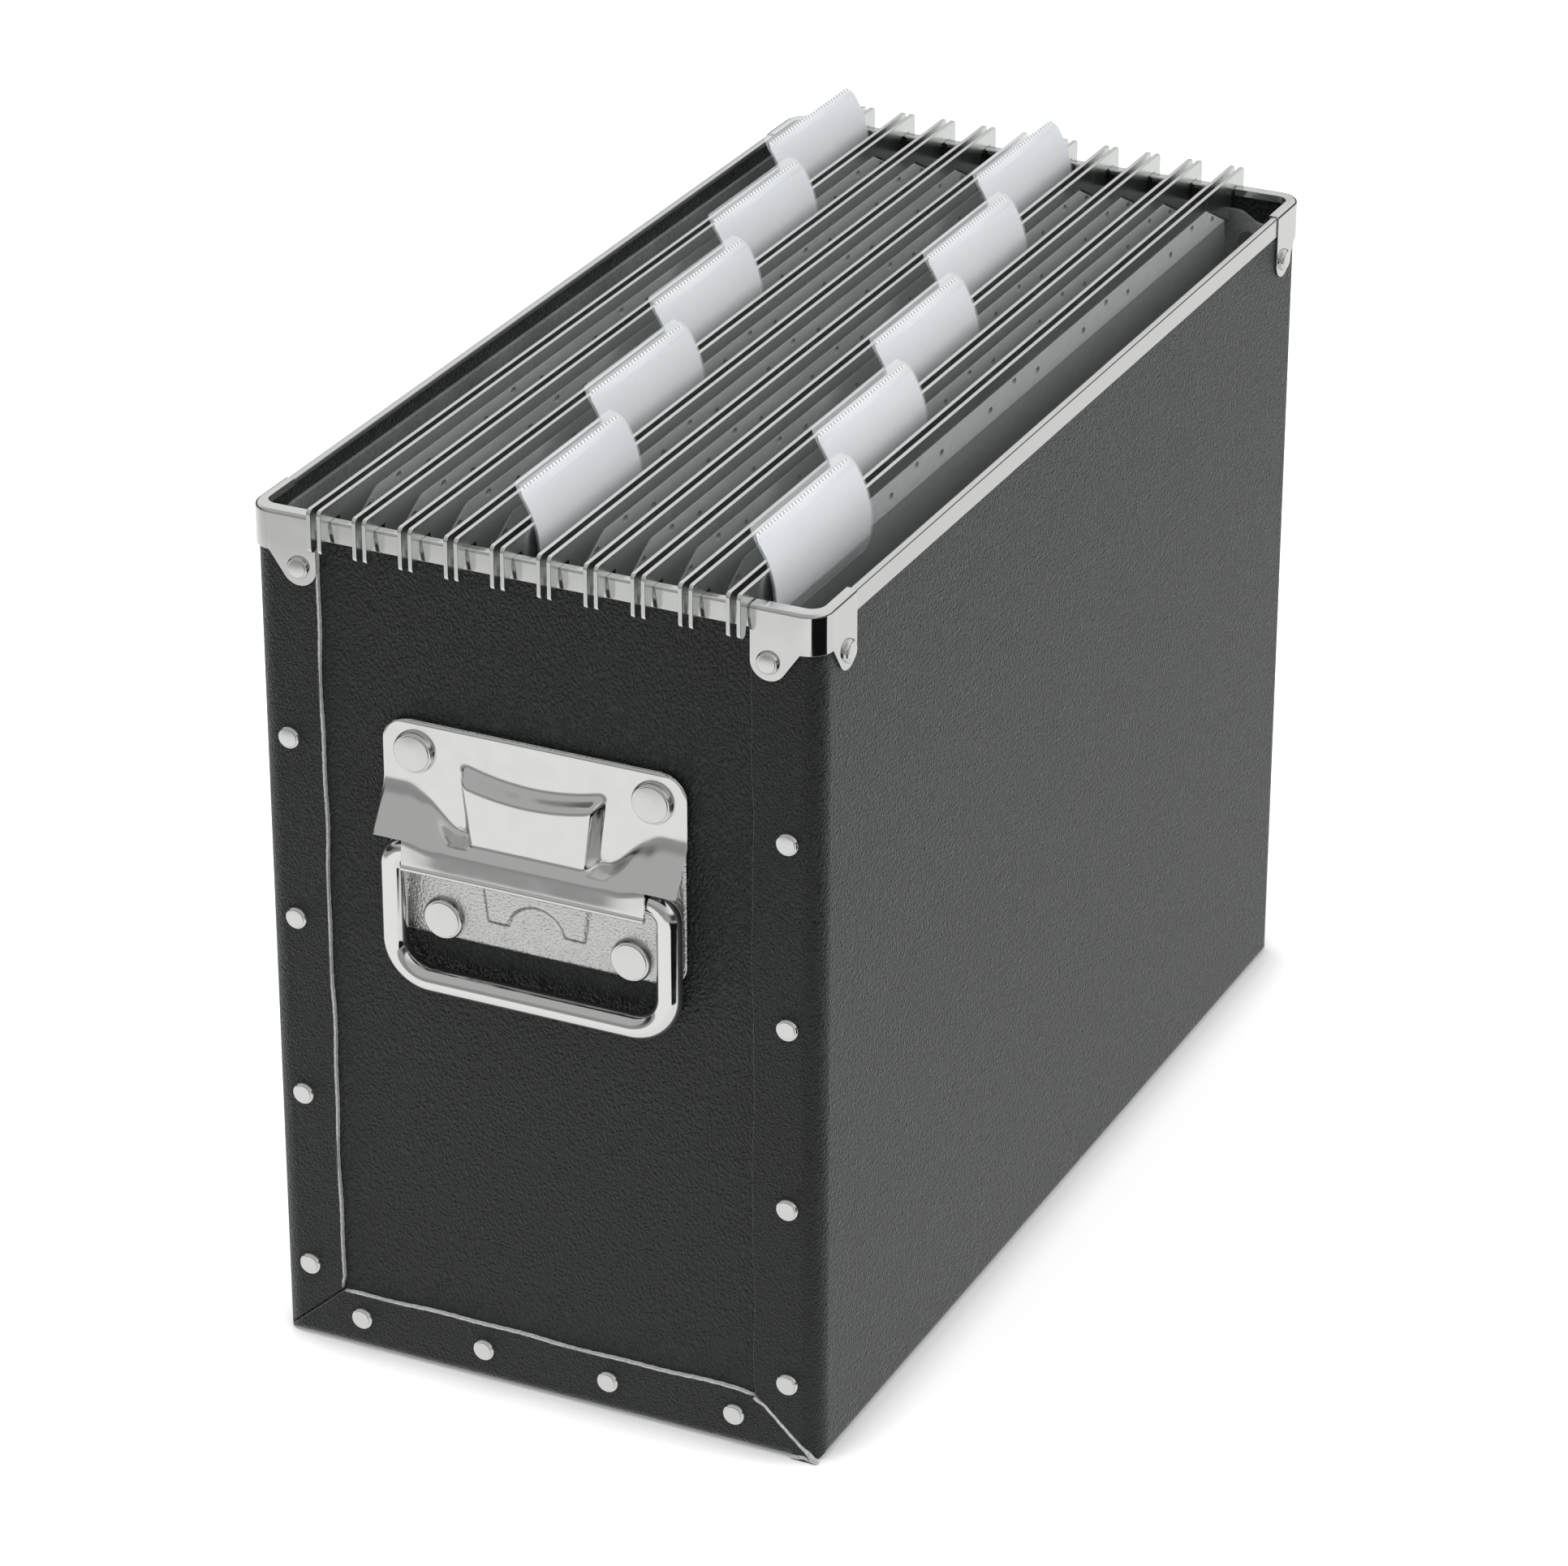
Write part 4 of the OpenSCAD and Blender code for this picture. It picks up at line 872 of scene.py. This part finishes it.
def studio_floor():
    """A flat white floor, which takes the shadow."""
    material, tree = empty_material("white_sweep")
    path = add(tree, "ShaderNodeLightPath")
    surface = add(tree, "ShaderNodeMixShader", {0: path.outputs["Is Glossy Ray"],
                                                1: floor_in_picture(tree), 2: floor_in_mirrors(tree)})
    add(tree, "ShaderNodeOutputMaterial", {"Surface": surface.outputs[0]})
    half = FLOOR_HALF
    staged("floor", [(-half, -half, 0), (half, -half, 0), (half, half, 0), (-half, half, 0)], material)


def dark_flag():
    """A black card on the floor to the right of the camera, seen only as a reflection in the metal."""
    material, tree = empty_material("black_flag")
    dull = add(tree, "ShaderNodeBsdfDiffuse", {"Color": linear("#101010")})
    add(tree, "ShaderNodeOutputMaterial", {"Surface": dull.outputs[0]})
    outline = [(0.19, -0.34), (0.55, -0.98), (1.1, -0.7), (1.1, 0.08), (0.36, -0.10)]
    flag = staged("flag", [(x, y, FLAG_Z) for x, y in outline], material)
    flag.visible_camera = flag.visible_diffuse = flag.visible_shadow = False
    flag.visible_transmission = False


def softbox(name, place, size, watts):
    """A square soft lamp that looks at the middle of the box."""
    lamp = bpy.data.lights.new(name, "AREA")
    lamp.shape, lamp.size, lamp.energy = "SQUARE", size, watts
    holder = linked(name, lamp)
    holder.visible_glossy = False
    back = np.subtract(place, LAMP_AIM)
    holder.location = place
    holder.rotation_euler = (math.atan2(math.hypot(back[0], back[1]), back[2]), 0,
                             math.atan2(back[0], -back[1]))


def studio_world():
    """White round about in the picture; in mirrors dark along the horizon, where the studio's walls
    are, but less so behind the camera, and grey above it; soft and even on the object itself."""
    world = bpy.data.worlds.new("studio")
    world.use_nodes = True
    tree = world.node_tree
    tree.nodes.clear()
    towards = add(tree, "ShaderNodeTexCoord").outputs["Generated"]
    front_up = add(tree, "ShaderNodeVectorMath", {0: towards, 1: WORLD_FRONT}, operation="DOT_PRODUCT")
    grey = add(tree, "ShaderNodeMapRange", {"Value": front_up.outputs["Value"], "From Min": 0.2,
                                            "From Max": 0.7, "To Min": 0.9, "To Max": 0.48})
    parts = add(tree, "ShaderNodeSeparateXYZ", {0: towards})
    low = add(tree, "ShaderNodeMapRange", {"Value": parts.outputs["Y"], "From Min": -0.85,
                                           "From Max": -0.45, "To Min": 0.65, "To Max": 0.06})
    dim = add(tree, "ShaderNodeMapRange", {"Value": parts.outputs["Z"], "From Min": 0.2,
                                           "From Max": 0.38, "To Min": low.outputs[0], "To Max": 1.0},
              interpolation_type="SMOOTHSTEP")
    walls = add(tree, "ShaderNodeMath", {0: grey.outputs[0], 1: dim.outputs[0]}, operation="MULTIPLY")
    path = add(tree, "ShaderNodeLightPath")
    mirrored = add(tree, "ShaderNodeMix", {0: path.outputs["Is Glossy Ray"], 2: 1.0, 3: walls.outputs[0]})
    strength = add(tree, "ShaderNodeMix", {0: seen(tree), 2: 0.85, 3: mirrored.outputs[0]})
    background = add(tree, "ShaderNodeBackground", {"Color": linear("#ffffff"),
                                                    "Strength": strength.outputs[0]})
    add(tree, "ShaderNodeOutputWorld", {"Surface": background.outputs[0]})
    bpy.context.scene.world = world


def camera(place, down, turn, focal_mm):
    """A camera that looks down and is turned about the upright axis by so many radians."""
    lens = bpy.data.cameras.new("camera")
    lens.sensor_width, lens.lens = 36.0, focal_mm
    lens.clip_start, lens.clip_end = 0.05, 50
    holder = linked("camera", lens)
    holder.location = place
    holder.rotation_euler = (math.pi / 2 - down, 0, turn)
    bpy.context.scene.camera = holder


bpy.context.scene.view_settings.view_transform = "Standard"
studio_floor()
dark_flag()
studio_world()
softbox("key", place=(-0.5, -0.5, 1.8), size=1.3, watts=18.0)
softbox("fill", place=(1.5, 0.6, 1.1), size=1.0, watts=12.0)
# The photograph's view: a long lens from the front right
camera(place=(0.6587, -1.3927, 0.8728), down=0.4576, turn=0.4461, focal_mm=135.86)
